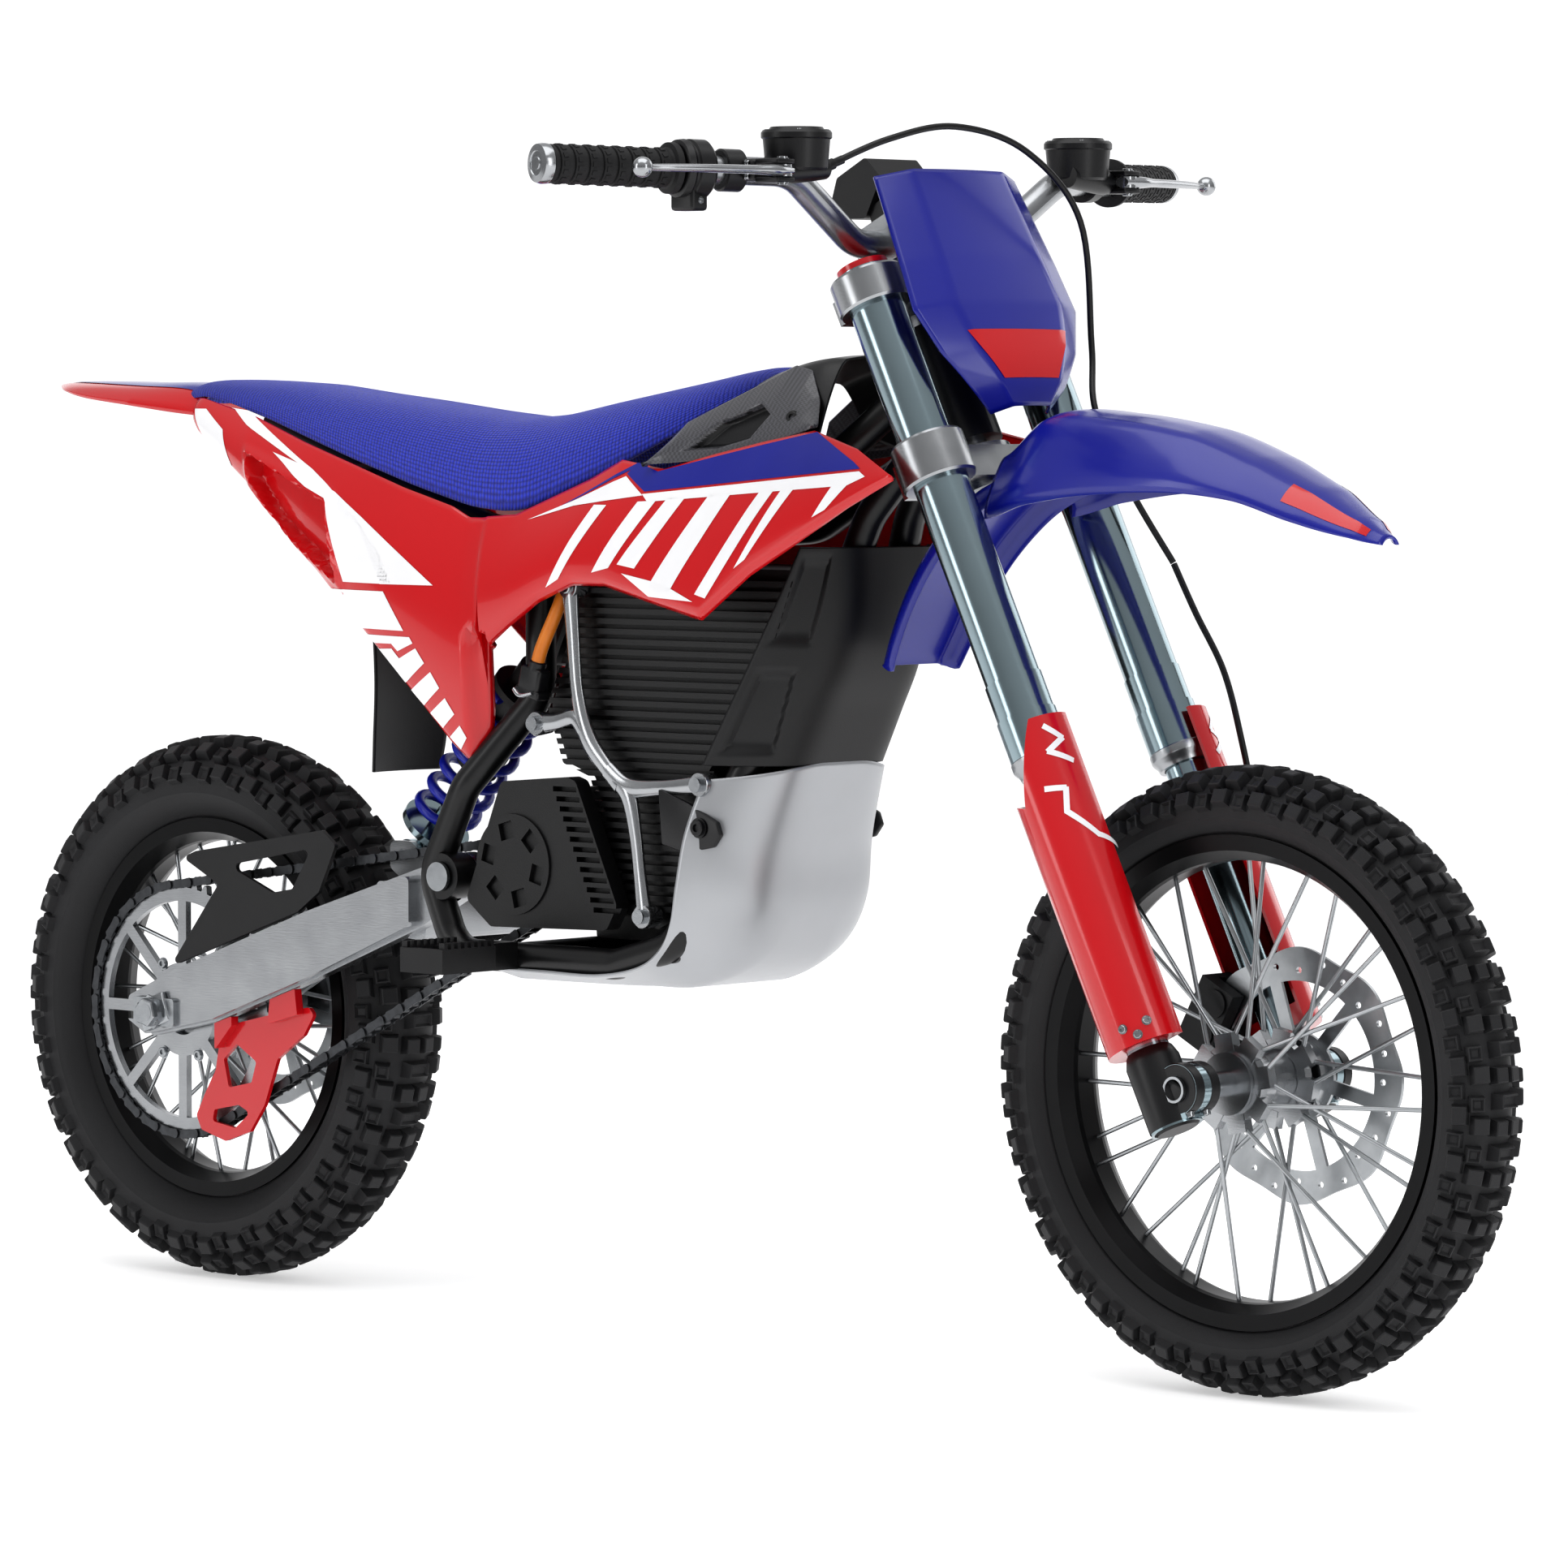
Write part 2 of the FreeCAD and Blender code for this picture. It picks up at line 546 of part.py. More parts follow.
def make_yokes():
    save("lower_clamp", [triple_clamp(LOWER_CLAMP_FROM, LOWER_CLAMP_TO, CLAMP_WALL)])
    upper = triple_clamp(UPPER_CLAMP_FROM, UPPER_CLAMP_TO, CLAMP_WALL)
    holders = []
    for side in (-1, 1):
        y = side * 42.0
        foot = on_fork(UPPER_CLAMP_TO, -14, y)
        top = point(BAR_CLAMP_X, y, BAR_CLAMP_Z)
        riser = rod(foot - FORK_UP * 3, top, 12)
        block = Part.makeBox(42, 24, 36, point(-21, -12, -18))
        block.rotate(point(0, 0, 0), AXIS_Y, -RAKE)
        block.translate(top)
        bar = rod(point(BAR_CLAMP_X, y - 30, BAR_CLAMP_Z), point(BAR_CLAMP_X, y + 30, BAR_CLAMP_Z),
                  BAR_RADIUS)
        holders.append(riser.fuse(block).cut(bar).cut(upper).removeSplitter())
    save("upper_clamp", [upper] + holders)
    nut = rod(on_fork(UPPER_CLAMP_TO, -STEM_SET_BACK), on_fork(UPPER_CLAMP_TO + 7, -STEM_SET_BACK),
              STEM_RADIUS + 5)
    stem = rod(on_fork(LOWER_CLAMP_FROM, -STEM_SET_BACK), on_fork(UPPER_CLAMP_TO, -STEM_SET_BACK),
               STEM_RADIUS)
    save("steering_stem", [stem.fuse(nut).removeSplitter()])


def bar_points(side):
    return [point(BAR_END_X, side * BAR_END_Y, BAR_END_Z),
            point(BAR_BEND_X, side * BAR_BEND_Y, BAR_BEND_Z),
            point(BAR_CLAMP_X, side * 78.0, BAR_CLAMP_Z)]


def along_bar(distance, side):
    """A point in from the bar's end, on the straight part that carries the grip."""
    end, bend, _ = bar_points(side)
    way = bend.sub(end)
    way.normalize()
    return end + way * distance


def make_handlebar():
    route = bar_points(-1) + list(reversed(bar_points(1)))
    save("handlebar", [bent_rod(route, BAR_RADIUS, 45)])


def grip(side, gap):
    """A grip sleeve with an end cap, a flange and shallow ribs."""
    tube = rod(along_bar(-1.5, side), along_bar(GRIP_LENGTH, side), GRIP_RADIUS - 1)
    rings = [tube, rod(along_bar(-1.5, side), along_bar(8, side), GRIP_RADIUS),
             rod(along_bar(GRIP_LENGTH - 6, side), along_bar(GRIP_LENGTH, side),
                 GRIP_FLANGE_RADIUS)]
    for i in range(8):
        start = 14.0 + i * 12.0
        rings.append(rod(along_bar(start, side), along_bar(start + 7, side), GRIP_RADIUS))
    return fuse_all(rings).cut(rod(along_bar(-0.3, side), along_bar(GRIP_LENGTH + 5, side),
                                   BAR_RADIUS + gap))


def make_controls():
    save("throttle_grip", [grip(-1, RUNNING_GAP)])
    save("left_grip", [grip(1, 0.0)])
    start = along_bar(GRIP_LENGTH + 1, -1)
    end = along_bar(GRIP_LENGTH + 27, -1)
    barrel = rod(start, end, 23)
    low = Part.makeBox(26, 20, 26, point(-13, -10, -32))
    low.translate(along_bar(GRIP_LENGTH + 14, -1))
    bar = rod(along_bar(GRIP_LENGTH - 20, -1), along_bar(GRIP_LENGTH + 60, -1), BAR_RADIUS)
    save("throttle_housing", [barrel.fuse(low).cut(bar).removeSplitter()])
    cylinders = []
    for side in (-1, 1):
        ring_mid = along_bar(GRIP_LENGTH + 49, side)
        perch = rod(along_bar(GRIP_LENGTH + 40, side), along_bar(GRIP_LENGTH + 58, side), 18)
        barrel = rod(point(LEVER_PIVOT_X - 16, side * (LEVER_PIVOT_Y + 4), LEVER_Z),
                     point(LEVER_PIVOT_X - 12, side * (LEVER_PIVOT_Y - 62), LEVER_Z + 4), 11)
        tank = Part.makeBox(34, 46, 24, point(-17, -23, 0))
        tank = tank.makeFillet(3, tank.Edges)
        tank.translate(point(LEVER_PIVOT_X - 18, side * (LEVER_PIVOT_Y - 36), LEVER_Z + 9))
        link = Part.makeBox(40, 16, 16, point(0, -8, -8))
        link.translate(ring_mid + point(8, 0, 0))
        fork = Part.makeBox(26, 18, 20, point(-22, -9, -10))
        fork.translate(point(LEVER_PIVOT_X + 6, side * (LEVER_PIVOT_Y - 1), LEVER_Z))
        gap = Part.makeBox(60, 60, 9.4, point(-14, -30, -4.7))
        gap.translate(point(LEVER_PIVOT_X, side * LEVER_PIVOT_Y, LEVER_Z))
        body = fuse_all([perch, barrel, tank, link, fork]).cut(gap)
        pin = rod(point(LEVER_PIVOT_X, side * LEVER_PIVOT_Y, LEVER_Z - 10),
                  point(LEVER_PIVOT_X, side * LEVER_PIVOT_Y, LEVER_Z + 10), 3)
        bore = bent_rod([along_bar(GRIP_LENGTH + 30, side)] + bar_points(side)[1:],
                        BAR_RADIUS + BOLT_GAP, 45)
        cylinders.append(body.cut(bore).fuse(pin).removeSplitter())
    save("master_cylinders", cylinders)
    save("front_brake_lever", [brake_lever(-1)])
    save("rear_brake_lever", [brake_lever(1)])


def brake_lever(side):
    """Blade with a ball end, turning on the perch pin."""
    x, y = LEVER_PIVOT_X, LEVER_PIVOT_Y
    outline = [(x - 8, y - 8), (x + 8, y - 8), (x + 9, y + 16), (x + 3, y + 60),
               (x - 9, y + 98), (x - 19, y + 126), (x - 27, y + 124), (x - 17, y + 94),
               (x - 6, y + 56), (x - 7, y + 16)]
    wire = rounded_wire([point(px, side * py, LEVER_Z - 4) for px, py in outline], 3, True)
    blade = Part.Face(wire).extrude(point(0, 0, 8))
    ball = Part.makeSphere(8, point(x - 22.3, side * (y + 130), LEVER_Z))
    hole = rod(point(x, side * y, LEVER_Z - 9), point(x, side * y, LEVER_Z + 9),
               3 + RUNNING_GAP)
    return blade.fuse(ball).cut(hole).removeSplitter()


def make_front_bodywork():
    make_number_plate()
    make_front_fender()
    pod = plate_y([(150, 898), (190, 898), (206, 930), (190, 946), (160, 930)], -30, 30, 4)
    foot = plate_y([(196, 884), (216, 893), (206, 915), (190, 905)], -26, 26, 1)
    save("display_pod", [pod.fuse(foot).removeSplitter()])


def make_number_plate():
    """Front plate, bowed across and leaning with the fork."""
    rows = [(561, 40, 46), (590, 72, 50), (640, 98, 52), (690, 92, 52), (752, 84, 50),
            (762, 80, 40)]
    sections = []
    for up, half, ahead in rows:
        outer = [on_fork(up, ahead - 6, -half), on_fork(up, ahead + 8, -half * 0.45),
                 on_fork(up, ahead + 8, half * 0.45), on_fork(up, ahead - 6, half)]
        inner = [on_fork(up, ahead - 9, half - 1), on_fork(up, ahead + 5, half * 0.45 - 1),
                 on_fork(up, ahead + 5, 1 - half * 0.45), on_fork(up, ahead - 9, 1 - half)]
        sections.append(outer + inner)
    plate = skin(sections)
    lugs = [rod(on_fork(676, FORK_OUTER_RADIUS + CLAMP_WALL - 1, y), on_fork(676, 52, y), 7)
            for y in (-60, 60)]
    save("number_plate", [fuse_all([plate] + lugs)])


def make_front_fender():
    """Blade over the wheel with turned-down sides, and a flap behind the fork."""
    rows = [(-219.75, 484, 56, 432), (-183.75, 506, 58, 439), (-123.75, 505, 61, 447),
            (-39.75, 493, 61, 450), (20.25, 473, 55, 442), (70.25, 449, 44, 427),
            (108.25, 425, 26, 415), (127.25, 412, 10, 409)]
    sections = []
    for ahead, crest, half, edge in rows:
        x, crest, edge = FRONT_X + ahead, FRONT_Z + crest, FRONT_Z + edge
        shoulder = crest - (crest - edge) * 0.30
        wall = min(3.0, (crest - edge) * 0.5)
        outer = [point(x, -half, edge), point(x, -half * 0.93, shoulder),
                 point(x, -half * 0.5, crest), point(x, half * 0.5, crest),
                 point(x, half * 0.93, shoulder), point(x, half, edge)]
        inner = [point(x, half - wall, edge), point(x, half * 0.93 - wall, shoulder - wall * 0.6),
                 point(x, half * 0.5 - wall * 0.5, crest - wall),
                 point(x, wall * 0.5 - half * 0.5, crest - wall),
                 point(x, wall - half * 0.93, shoulder - wall * 0.6), point(x, wall - half, edge)]
        sections.append(outer + inner)
    blade = skin(sections)
    rows = [(-213.75, 457, 50), (-259.75, 436, 50), (-297.75, 400, 48), (-327.75, 352, 44),
            (-347.75, 309, 39)]
    sections = []
    for ahead, above, half in rows:
        x, z = FRONT_X + ahead, FRONT_Z + above
        sections.append([point(x + 12, -half, z - 14), point(x, -half * 0.8, z),
                         point(x, half * 0.8, z), point(x + 12, half, z - 14),
                         point(x + 15, half - 3, z - 16), point(x + 3, half * 0.8 - 1, z - 3),
                         point(x + 3, 1 - half * 0.8, z - 3), point(x + 15, 3 - half, z - 16)])
    flap = skin(sections)
    posts = [rod(on_fork(LOWER_CLAMP_FROM, 12, y), on_fork(LOWER_CLAMP_FROM - 16, 12, y), 7)
             for y in (-40, 40)]
    save("front_fender", [fuse_all([blade, flap] + posts)])


def hose_route():
    """Front brake hose from the right master cylinder over the plate to the left fork leg."""
    over = [(-313.75, -141, 694), (-297.75, -84, 717), (-284.75, -20, 728), (-267.75, 45, 710),
            (-251.75, 92, 656)]
    down = [(612, 42, 20.7), (556, 38, 0.7), (490, 38, 6.7), (424, 38, 26.7)]
    return ([point(FRONT_X + x, y, FRONT_Z + z) for x, y, z in over]
            + [on_fork(up, ahead, FORK_HALF_SPACING + out) for up, ahead, out in down])


def make_front_hose():
    save("front_brake_hose", [bent_rod(hose_route(), 2.6, 26)])
    places = [(423, 38, 26.7), (380, 39, 29.7), (330, 41, 34.7), (276, 39, 28.7), (222, 22, 34.7),
              (168, -6, 38.7), (116, -34, 28.7), (78, -50, 12.7), (62, -52, -1.3)]
    route = [on_fork(up, ahead, FORK_HALF_SPACING + out) for up, ahead, out in places]
    save("front_lower_hose", [bent_rod(route, 2.6, 26)])


# ---- frame ----

def spar_tubes(grow=0.0):
    """Twin spars and down tubes behind the head tube; grown to cut room for them."""
    tubes = []
    for side in (-1, 1):
        route = [on_fork(625, -STEM_SET_BACK, 6 * side), point(165, 48 * side, 702),
                 point(60, 62 * side, 652), point(-120, 62 * side, 640)]
        tubes.append(bent_rod(route, FRAME_TUBE_RADIUS + grow, 60))
        down = [on_fork(590, -STEM_SET_BACK - 6, 6 * side), point(190, 24 * side, 664),
                point(156, 36 * side, 572)]
        tubes.append(bent_rod(down, FRAME_TUBE_RADIUS + grow, 60))
    return tubes


def cradle_tubes(grow=0.0):
    """Lower frame loops, from under the spars round the motor to the down tubes."""
    tubes = []
    y = CRADLE_Y
    for side in (-1, 1):
        route = [point(-134, 62 * side, 640), point(-134, 62 * side, 516),
                 point(-190, y * side, 440), point(-228, y * side, 366),
                 point(-200, y * side, 303), point(-20, y * side, 303),
                 point(48, y * side, 322), point(80, 80 * side, 420),
                 point(112, 56 * side, 500), point(156, 36 * side, 572)]
        tubes.append(bent_rod(route, FRAME_TUBE_RADIUS + grow, 34))
    for x, z, half in ((-134, 632, 60), (-150, 303, y), (40, 317, y)):
        tubes.append(rod(point(x, -half, z), point(x, half, z), CROSS_TUBE_RADIUS + grow))
    return tubes


def rail_tubes(grow=0.0):
    """Seat rails that run back from the spars' ends, with their tie."""
    tubes = []
    for side in (-1, 1):
        route = [point(-108, 62 * side, 640), point(-300, 56 * side, 650),
                 point(-440, 48 * side, 694), point(-556, 38 * side, 738)]
        tubes.append(bent_rod(route, RAIL_TUBE_RADIUS + grow, 60))
    tubes.append(rod(point(-440, -48, 694), point(-440, 48, 694), 7 + grow))
    return tubes


def make_frame():
    axis_from = on_fork(HEAD_TUBE_FROM, -STEM_SET_BACK)
    axis_to = on_fork(HEAD_TUBE_TO, -STEM_SET_BACK)
    head = rod(axis_from, axis_to, HEAD_TUBE_RADIUS)
    bore = rod(axis_from - FORK_UP * 5, axis_to + FORK_UP * 5, HEAD_TUBE_BORE)
    frame = fuse_all([head] + spar_tubes()).cut(bore)
    rings = []
    for low in (HEAD_TUBE_FROM, HEAD_TUBE_TO - 12):
        rings.append(pipe(on_fork(low, -STEM_SET_BACK), on_fork(low + 12, -STEM_SET_BACK),
                          HEAD_TUBE_BORE, STEM_RADIUS + RUNNING_GAP))
    save("head_frame", [frame] + rings)
    make_cradle()
    save("seat_rails", fitted(fuse_all(rail_tubes()), spar_tubes(SEAM_GAP) + cradle_tubes(SEAM_GAP)))


def make_cradle():
    """The lower loops with the swingarm's pivot eyes, the shock's ears and the peg brackets."""
    pieces = cradle_tubes()
    for side in (-1, 1):
        pieces.append(ring_y(PIVOT_X, PIVOT_Z, side * 80.5, side * 104, 19,
                             PIVOT_BOLT_RADIUS + BOLT_GAP))
    for side in (-1, 1):
        low, high = sorted((side * 15, side * 21))
        ear = plate_y([(-126, 640), (-144, 642), (SHOCK_TOP_X - 13, SHOCK_TOP_Z + 12),
                       (SHOCK_TOP_X - 13, SHOCK_TOP_Z - 13), (SHOCK_TOP_X + 12, SHOCK_TOP_Z - 13),
                       (-126, 616)], low, high, 5)
        pieces.append(ear)
    frame = fuse_all(pieces)
    pin = rod(point(SHOCK_TOP_X, -23, SHOCK_TOP_Z), point(SHOCK_TOP_X, 23, SHOCK_TOP_Z),
              SHOCK_PIN_RADIUS)
    frame = frame.cut(rod(point(PIVOT_X, -120, PIVOT_Z), point(PIVOT_X, 120, PIVOT_Z),
                          PIVOT_BOLT_RADIUS + BOLT_GAP)).fuse(pin).removeSplitter()
    save("cradle_frame", fitted(frame, spar_tubes(SEAM_GAP)) + peg_brackets())


def make_frame_bolts():
    """Swingarm pivot bolt with its nut, and the bolts of the battery braces."""
    solids = [rod(point(PIVOT_X, -109, PIVOT_Z), point(PIVOT_X, 109, PIVOT_Z), PIVOT_BOLT_RADIUS)]
    head = rod(point(PIVOT_X, -109, PIVOT_Z), point(PIVOT_X, -105.7, PIVOT_Z), 12)
    nut = rod(point(PIVOT_X, 105.7, PIVOT_Z), point(PIVOT_X, 109, PIVOT_Z), 12)
    solids = [fuse_all([solids[0], head, nut])]
    for side in (-1, 1):
        for x, z in BRACE_POINTS:
            low, high = sorted((side * (BRACE_Y + 4), side * (BRACE_Y + 9)))
            solids.append(rod(point(x, low, z), point(x, high, z), 6))
    save("frame_bolts", solids)


BRACE_Y = 92.0
BRACE_POINTS = [(-108, 494), (72, 451), (10, 343)]
BRACE_TOP = (-72, 605)
BRACE_NODES = [(-62, 500), (-16, 447)]


def make_braces():
    """Y-shaped braces over the battery, one each side."""
    def arm(a, b, width):
        dx, dz = b[0] - a[0], b[1] - a[1]
        size = math.hypot(dx, dz)
        px, pz = -dz / size * width / 2, dx / size * width / 2
        return plate_y([(a[0] + px, a[1] + pz), (b[0] + px, b[1] + pz),
                        (b[0] - px, b[1] - pz), (a[0] - px, a[1] - pz)], -BRACE_Y - 4, -BRACE_Y + 4)
    rear, front, low = BRACE_POINTS
    top_node, low_node = BRACE_NODES
    pieces = [arm(BRACE_TOP, top_node, 14), arm(rear, top_node, 13), arm(top_node, low_node, 13),
              arm(low_node, front, 12), arm(low_node, low, 12)]
    for x, z in BRACE_NODES + [BRACE_TOP]:
        pieces.append(rod(point(x, -BRACE_Y - 4, z), point(x, -BRACE_Y + 4, z), 7))
    for x, z in BRACE_POINTS:
        pieces.append(rod(point(x, -BRACE_Y - 4, z), point(x, -BATTERY_HALF_WIDTH, z), 10))
    brace = fuse_all(pieces)
    brace = fitted(brace, cradle_tubes(SEAM_GAP))[0]
    save("battery_braces", both_sides(brace))


# ---- battery, motor and covers ----

BATTERY_OUTLINE = [(-60, 622), (-112, 508), (-94, 462), (-64, 452), (-22, 347), (5, 331),
                   (36, 346), (58, 410), (67, 461), (102, 507), (137, 566), (160, 622)]


def make_battery():
    """Finned aluminium battery case."""
    core = plate_y(BATTERY_OUTLINE, -BATTERY_HALF_WIDTH + 6, BATTERY_HALF_WIDTH - 6, 4)
    full = plate_y(BATTERY_OUTLINE, -BATTERY_HALF_WIDTH, BATTERY_HALF_WIDTH, 4)
    fins = []
    pitch, thickness = 8.2, 4.6
    z = 346.0
    while z < 616.0:
        slab = Part.makeBox(400, 2 * BATTERY_HALF_WIDTH + 2, thickness,
                            point(-200, -BATTERY_HALF_WIDTH - 1, z))
        fins.append(full.common(slab))
        z += pitch
    save("battery_case", fitted(fuse_all([core] + fins), cradle_tubes(SEAM_GAP)))


def make_battery_lead():
    """Cable from the battery to its plug, with a latch lever on the plug."""
    cable = bent_rod([point(-84, -84, 606), point(-92, -92, 582), point(-104, -95, 552),
                      point(-110, -95, 534)], 5, 20)
    plug = plate_y([(-126, 512), (-100, 512), (-98, 538), (-122, 538)], -103, -87, 3)
    save("battery_lead", [cable.fuse(plug).removeSplitter()])


def make_front_shroud():
    """Wedge-shaped cover over the down tubes."""
    rows = [(470, 138, 76, 23, 79), (546, 182, 124, 23, 79), (640, 196, 170, 24, 74)]
    sections = []
    for z, front, back, narrow, wide in rows:
        outer = [point(back, -wide, z), point(front, -narrow, z), point(front, narrow, z),
                 point(back, wide, z)]
        inner = [point(back, wide - 4, z), point(front - 3, narrow - 2, z),
                 point(front - 3, 2 - narrow, z), point(back, 4 - wide, z)]
        sections.append(outer + inner)
    room = plate_y(BATTERY_OUTLINE, -BATTERY_HALF_WIDTH - SEAM_GAP, BATTERY_HALF_WIDTH + SEAM_GAP)
    save("front_shroud", fitted(skin(sections), [room] + spar_tubes(SEAM_GAP)
                                + cradle_tubes(SEAM_GAP)))


def make_skid_plate():
    """Folded belly pan: a narrow front spine, a flat floor, and side walls."""
    rows = [((88, 455), (140, 468), 23, 84), ((70, 405), (114, 394), 25, 95),
            ((60, 360), (106, 331), 32, 108), ((46, 322), (72, 298), 44, 108),
            ((15, 302), (-14, 284), 60, 108), ((-30, 293), (-48, 284), 70, 108),
            ((-146, 293), (-146, 284), 74, 108)]
    sections = []
    for (ex, ez), (sx, sz), narrow, wide in rows:
        length = math.hypot(ex - sx, ez - sz)
        tx, tz = (ex - sx) / length * 3.0, (ez - sz) / length * 3.0
        outer = [point(ex, -wide, ez), point(sx, -narrow, sz), point(sx, narrow, sz),
                 point(ex, wide, ez)]
        inner = [point(ex, wide - 3, ez), point(sx + tx, narrow - 1, sz + tz),
                 point(sx + tx, 1 - narrow, sz + tz), point(ex, 3 - wide, ez)]
        sections.append(outer + inner)
    pad = Part.makeBox(84, 110, 3, point(-140, -55, 283))
    plate = skin(sections).fuse(pad).removeSplitter()
    save("skid_plate", fitted(plate, cradle_tubes(SEAM_GAP)))


def make_motor():
    """Motor housing in the frame's middle, and the finned side cover on its posts."""
    x, z = MOTOR_X, MOTOR_Z
    shaft_hole = rod(point(x, -120, z), point(x, 84, z), MOTOR_SHAFT_RADIUS + RUNNING_GAP)
    body = plate_y([(-146, 438), (-84, 442), (-38, 350), (-46, 338), (-152, 335), (-174, 352)],
                   -40, 84, 8).cut(shaft_hole)
    foot = plate_y([(-150, 312), (-70, 312), (-60, 336), (-152, 336)], 20, 80, 2)
    cover = plate_y([(-146, 446), (-72, 452), (-62, 449), (-16, 350), (-28, 330), (-158, 327),
                     (-186, 348)], -97, -82, 7)
    cover = cover.fuse(rod(point(BADGE_X, -99, BADGE_Z), point(BADGE_X, -97, BADGE_Z), 41))
    for i in range(13):
        slot_z = 344.0 + i * 8.0
        slot_x = -20.0 - (slot_z - 344.0) * 0.47
        cover = cover.cut(Part.makeBox(26, 8, 4.2, point(slot_x - 22, -98, slot_z)))
    for i in range(6):
        hole = Part.makeBox(14, 6, 15, point(BADGE_X + 21, -101, BADGE_Z - 7.5))
        hole.rotate(point(BADGE_X, 0, BADGE_Z), AXIS_Y, 60.0 * i + 15)
        cover = cover.cut(hole)
    posts = [rod(point(px, -84, pz), point(px, -38, pz), 6)
             for px, pz in ((-54, 370), (-76, 426), (-128, 430), (-62, 346))]
    save("motor", fitted(fuse_all([body, foot, cover] + posts), cradle_tubes(SEAM_GAP)))
    teeth = sprocket_teeth(x, z, CHAIN_Y, DRIVE_PITCH_RADIUS, DRIVE_TEETH, 1,
                           SPROCKET_HALF_THICKNESS)
    shaft = rod(point(x, -72, z), point(x, 40, z), MOTOR_SHAFT_RADIUS)
    save("drive_sprocket", [teeth.fuse(shaft).removeSplitter()])


def make_chain():
    """Two rows of side plates round both sprockets, joined by pins on the straight runs."""
    x0, z0, r0 = MOTOR_X, MOTOR_Z, DRIVE_PITCH_RADIUS
    x1, z1, r1 = REAR_X, REAR_Z, REAR_PITCH_RADIUS
    gap = math.hypot(x1 - x0, z1 - z0)
    heading = math.atan2(z0 - z1, x0 - x1)
    lean = math.acos((r1 - r0) / gap)
    tangents = []
    for side in (1, -1):
        turn = heading + side * lean
        tangents.append(((x1 + r1 * math.cos(turn), z1 + r1 * math.sin(turn)),
                         (x0 + r0 * math.cos(turn), z0 + r0 * math.sin(turn)), turn))

    def belt(reach, y_from, y_to):
        edges = []
        ends = []
        for _, _, turn in tangents:
            ends.append((point(x1 + (r1 + reach) * math.cos(turn), y_from,
                               z1 + (r1 + reach) * math.sin(turn)),
                         point(x0 + (r0 + reach) * math.cos(turn), y_from,
                               z0 + (r0 + reach) * math.sin(turn))))
        nose = point(x0 + (r0 + reach) * math.cos(heading), y_from,
                     z0 + (r0 + reach) * math.sin(heading))
        tail = point(x1 - (r1 + reach) * math.cos(heading), y_from,
                     z1 - (r1 + reach) * math.sin(heading))
        edges.append(Part.makeLine(ends[0][0], ends[0][1]))
        edges.append(Part.Arc(ends[0][1], nose, ends[1][1]).toShape())
        edges.append(Part.makeLine(ends[1][1], ends[1][0]))
        edges.append(Part.Arc(ends[1][0], tail, ends[0][0]).toShape())
        return Part.Face(Part.Wire(edges)).extrude(point(0, y_to - y_from, 0))
    pieces = []
    for y in (CHAIN_Y - CHAIN_HALF_WIDTH, CHAIN_Y + CHAIN_HALF_WIDTH - CHAIN_PLATE):
        pieces.append(belt(CHAIN_HALF_HEIGHT, y, y + CHAIN_PLATE).cut(
            belt(-CHAIN_HALF_HEIGHT, y - 1, y + CHAIN_PLATE + 1)))
    for low, high, _ in tangents:
        for share in (0.15, 0.3, 0.45, 0.6, 0.75, 0.88):
            x = low[0] + (high[0] - low[0]) * share
            z = low[1] + (high[1] - low[1]) * share
            pieces.append(rod(point(x, CHAIN_Y - CHAIN_HALF_WIDTH, z),
                              point(x, CHAIN_Y + CHAIN_HALF_WIDTH, z), 3.8))
    save("chain", [fuse_all(pieces)])


# ---- swingarm and shock ----

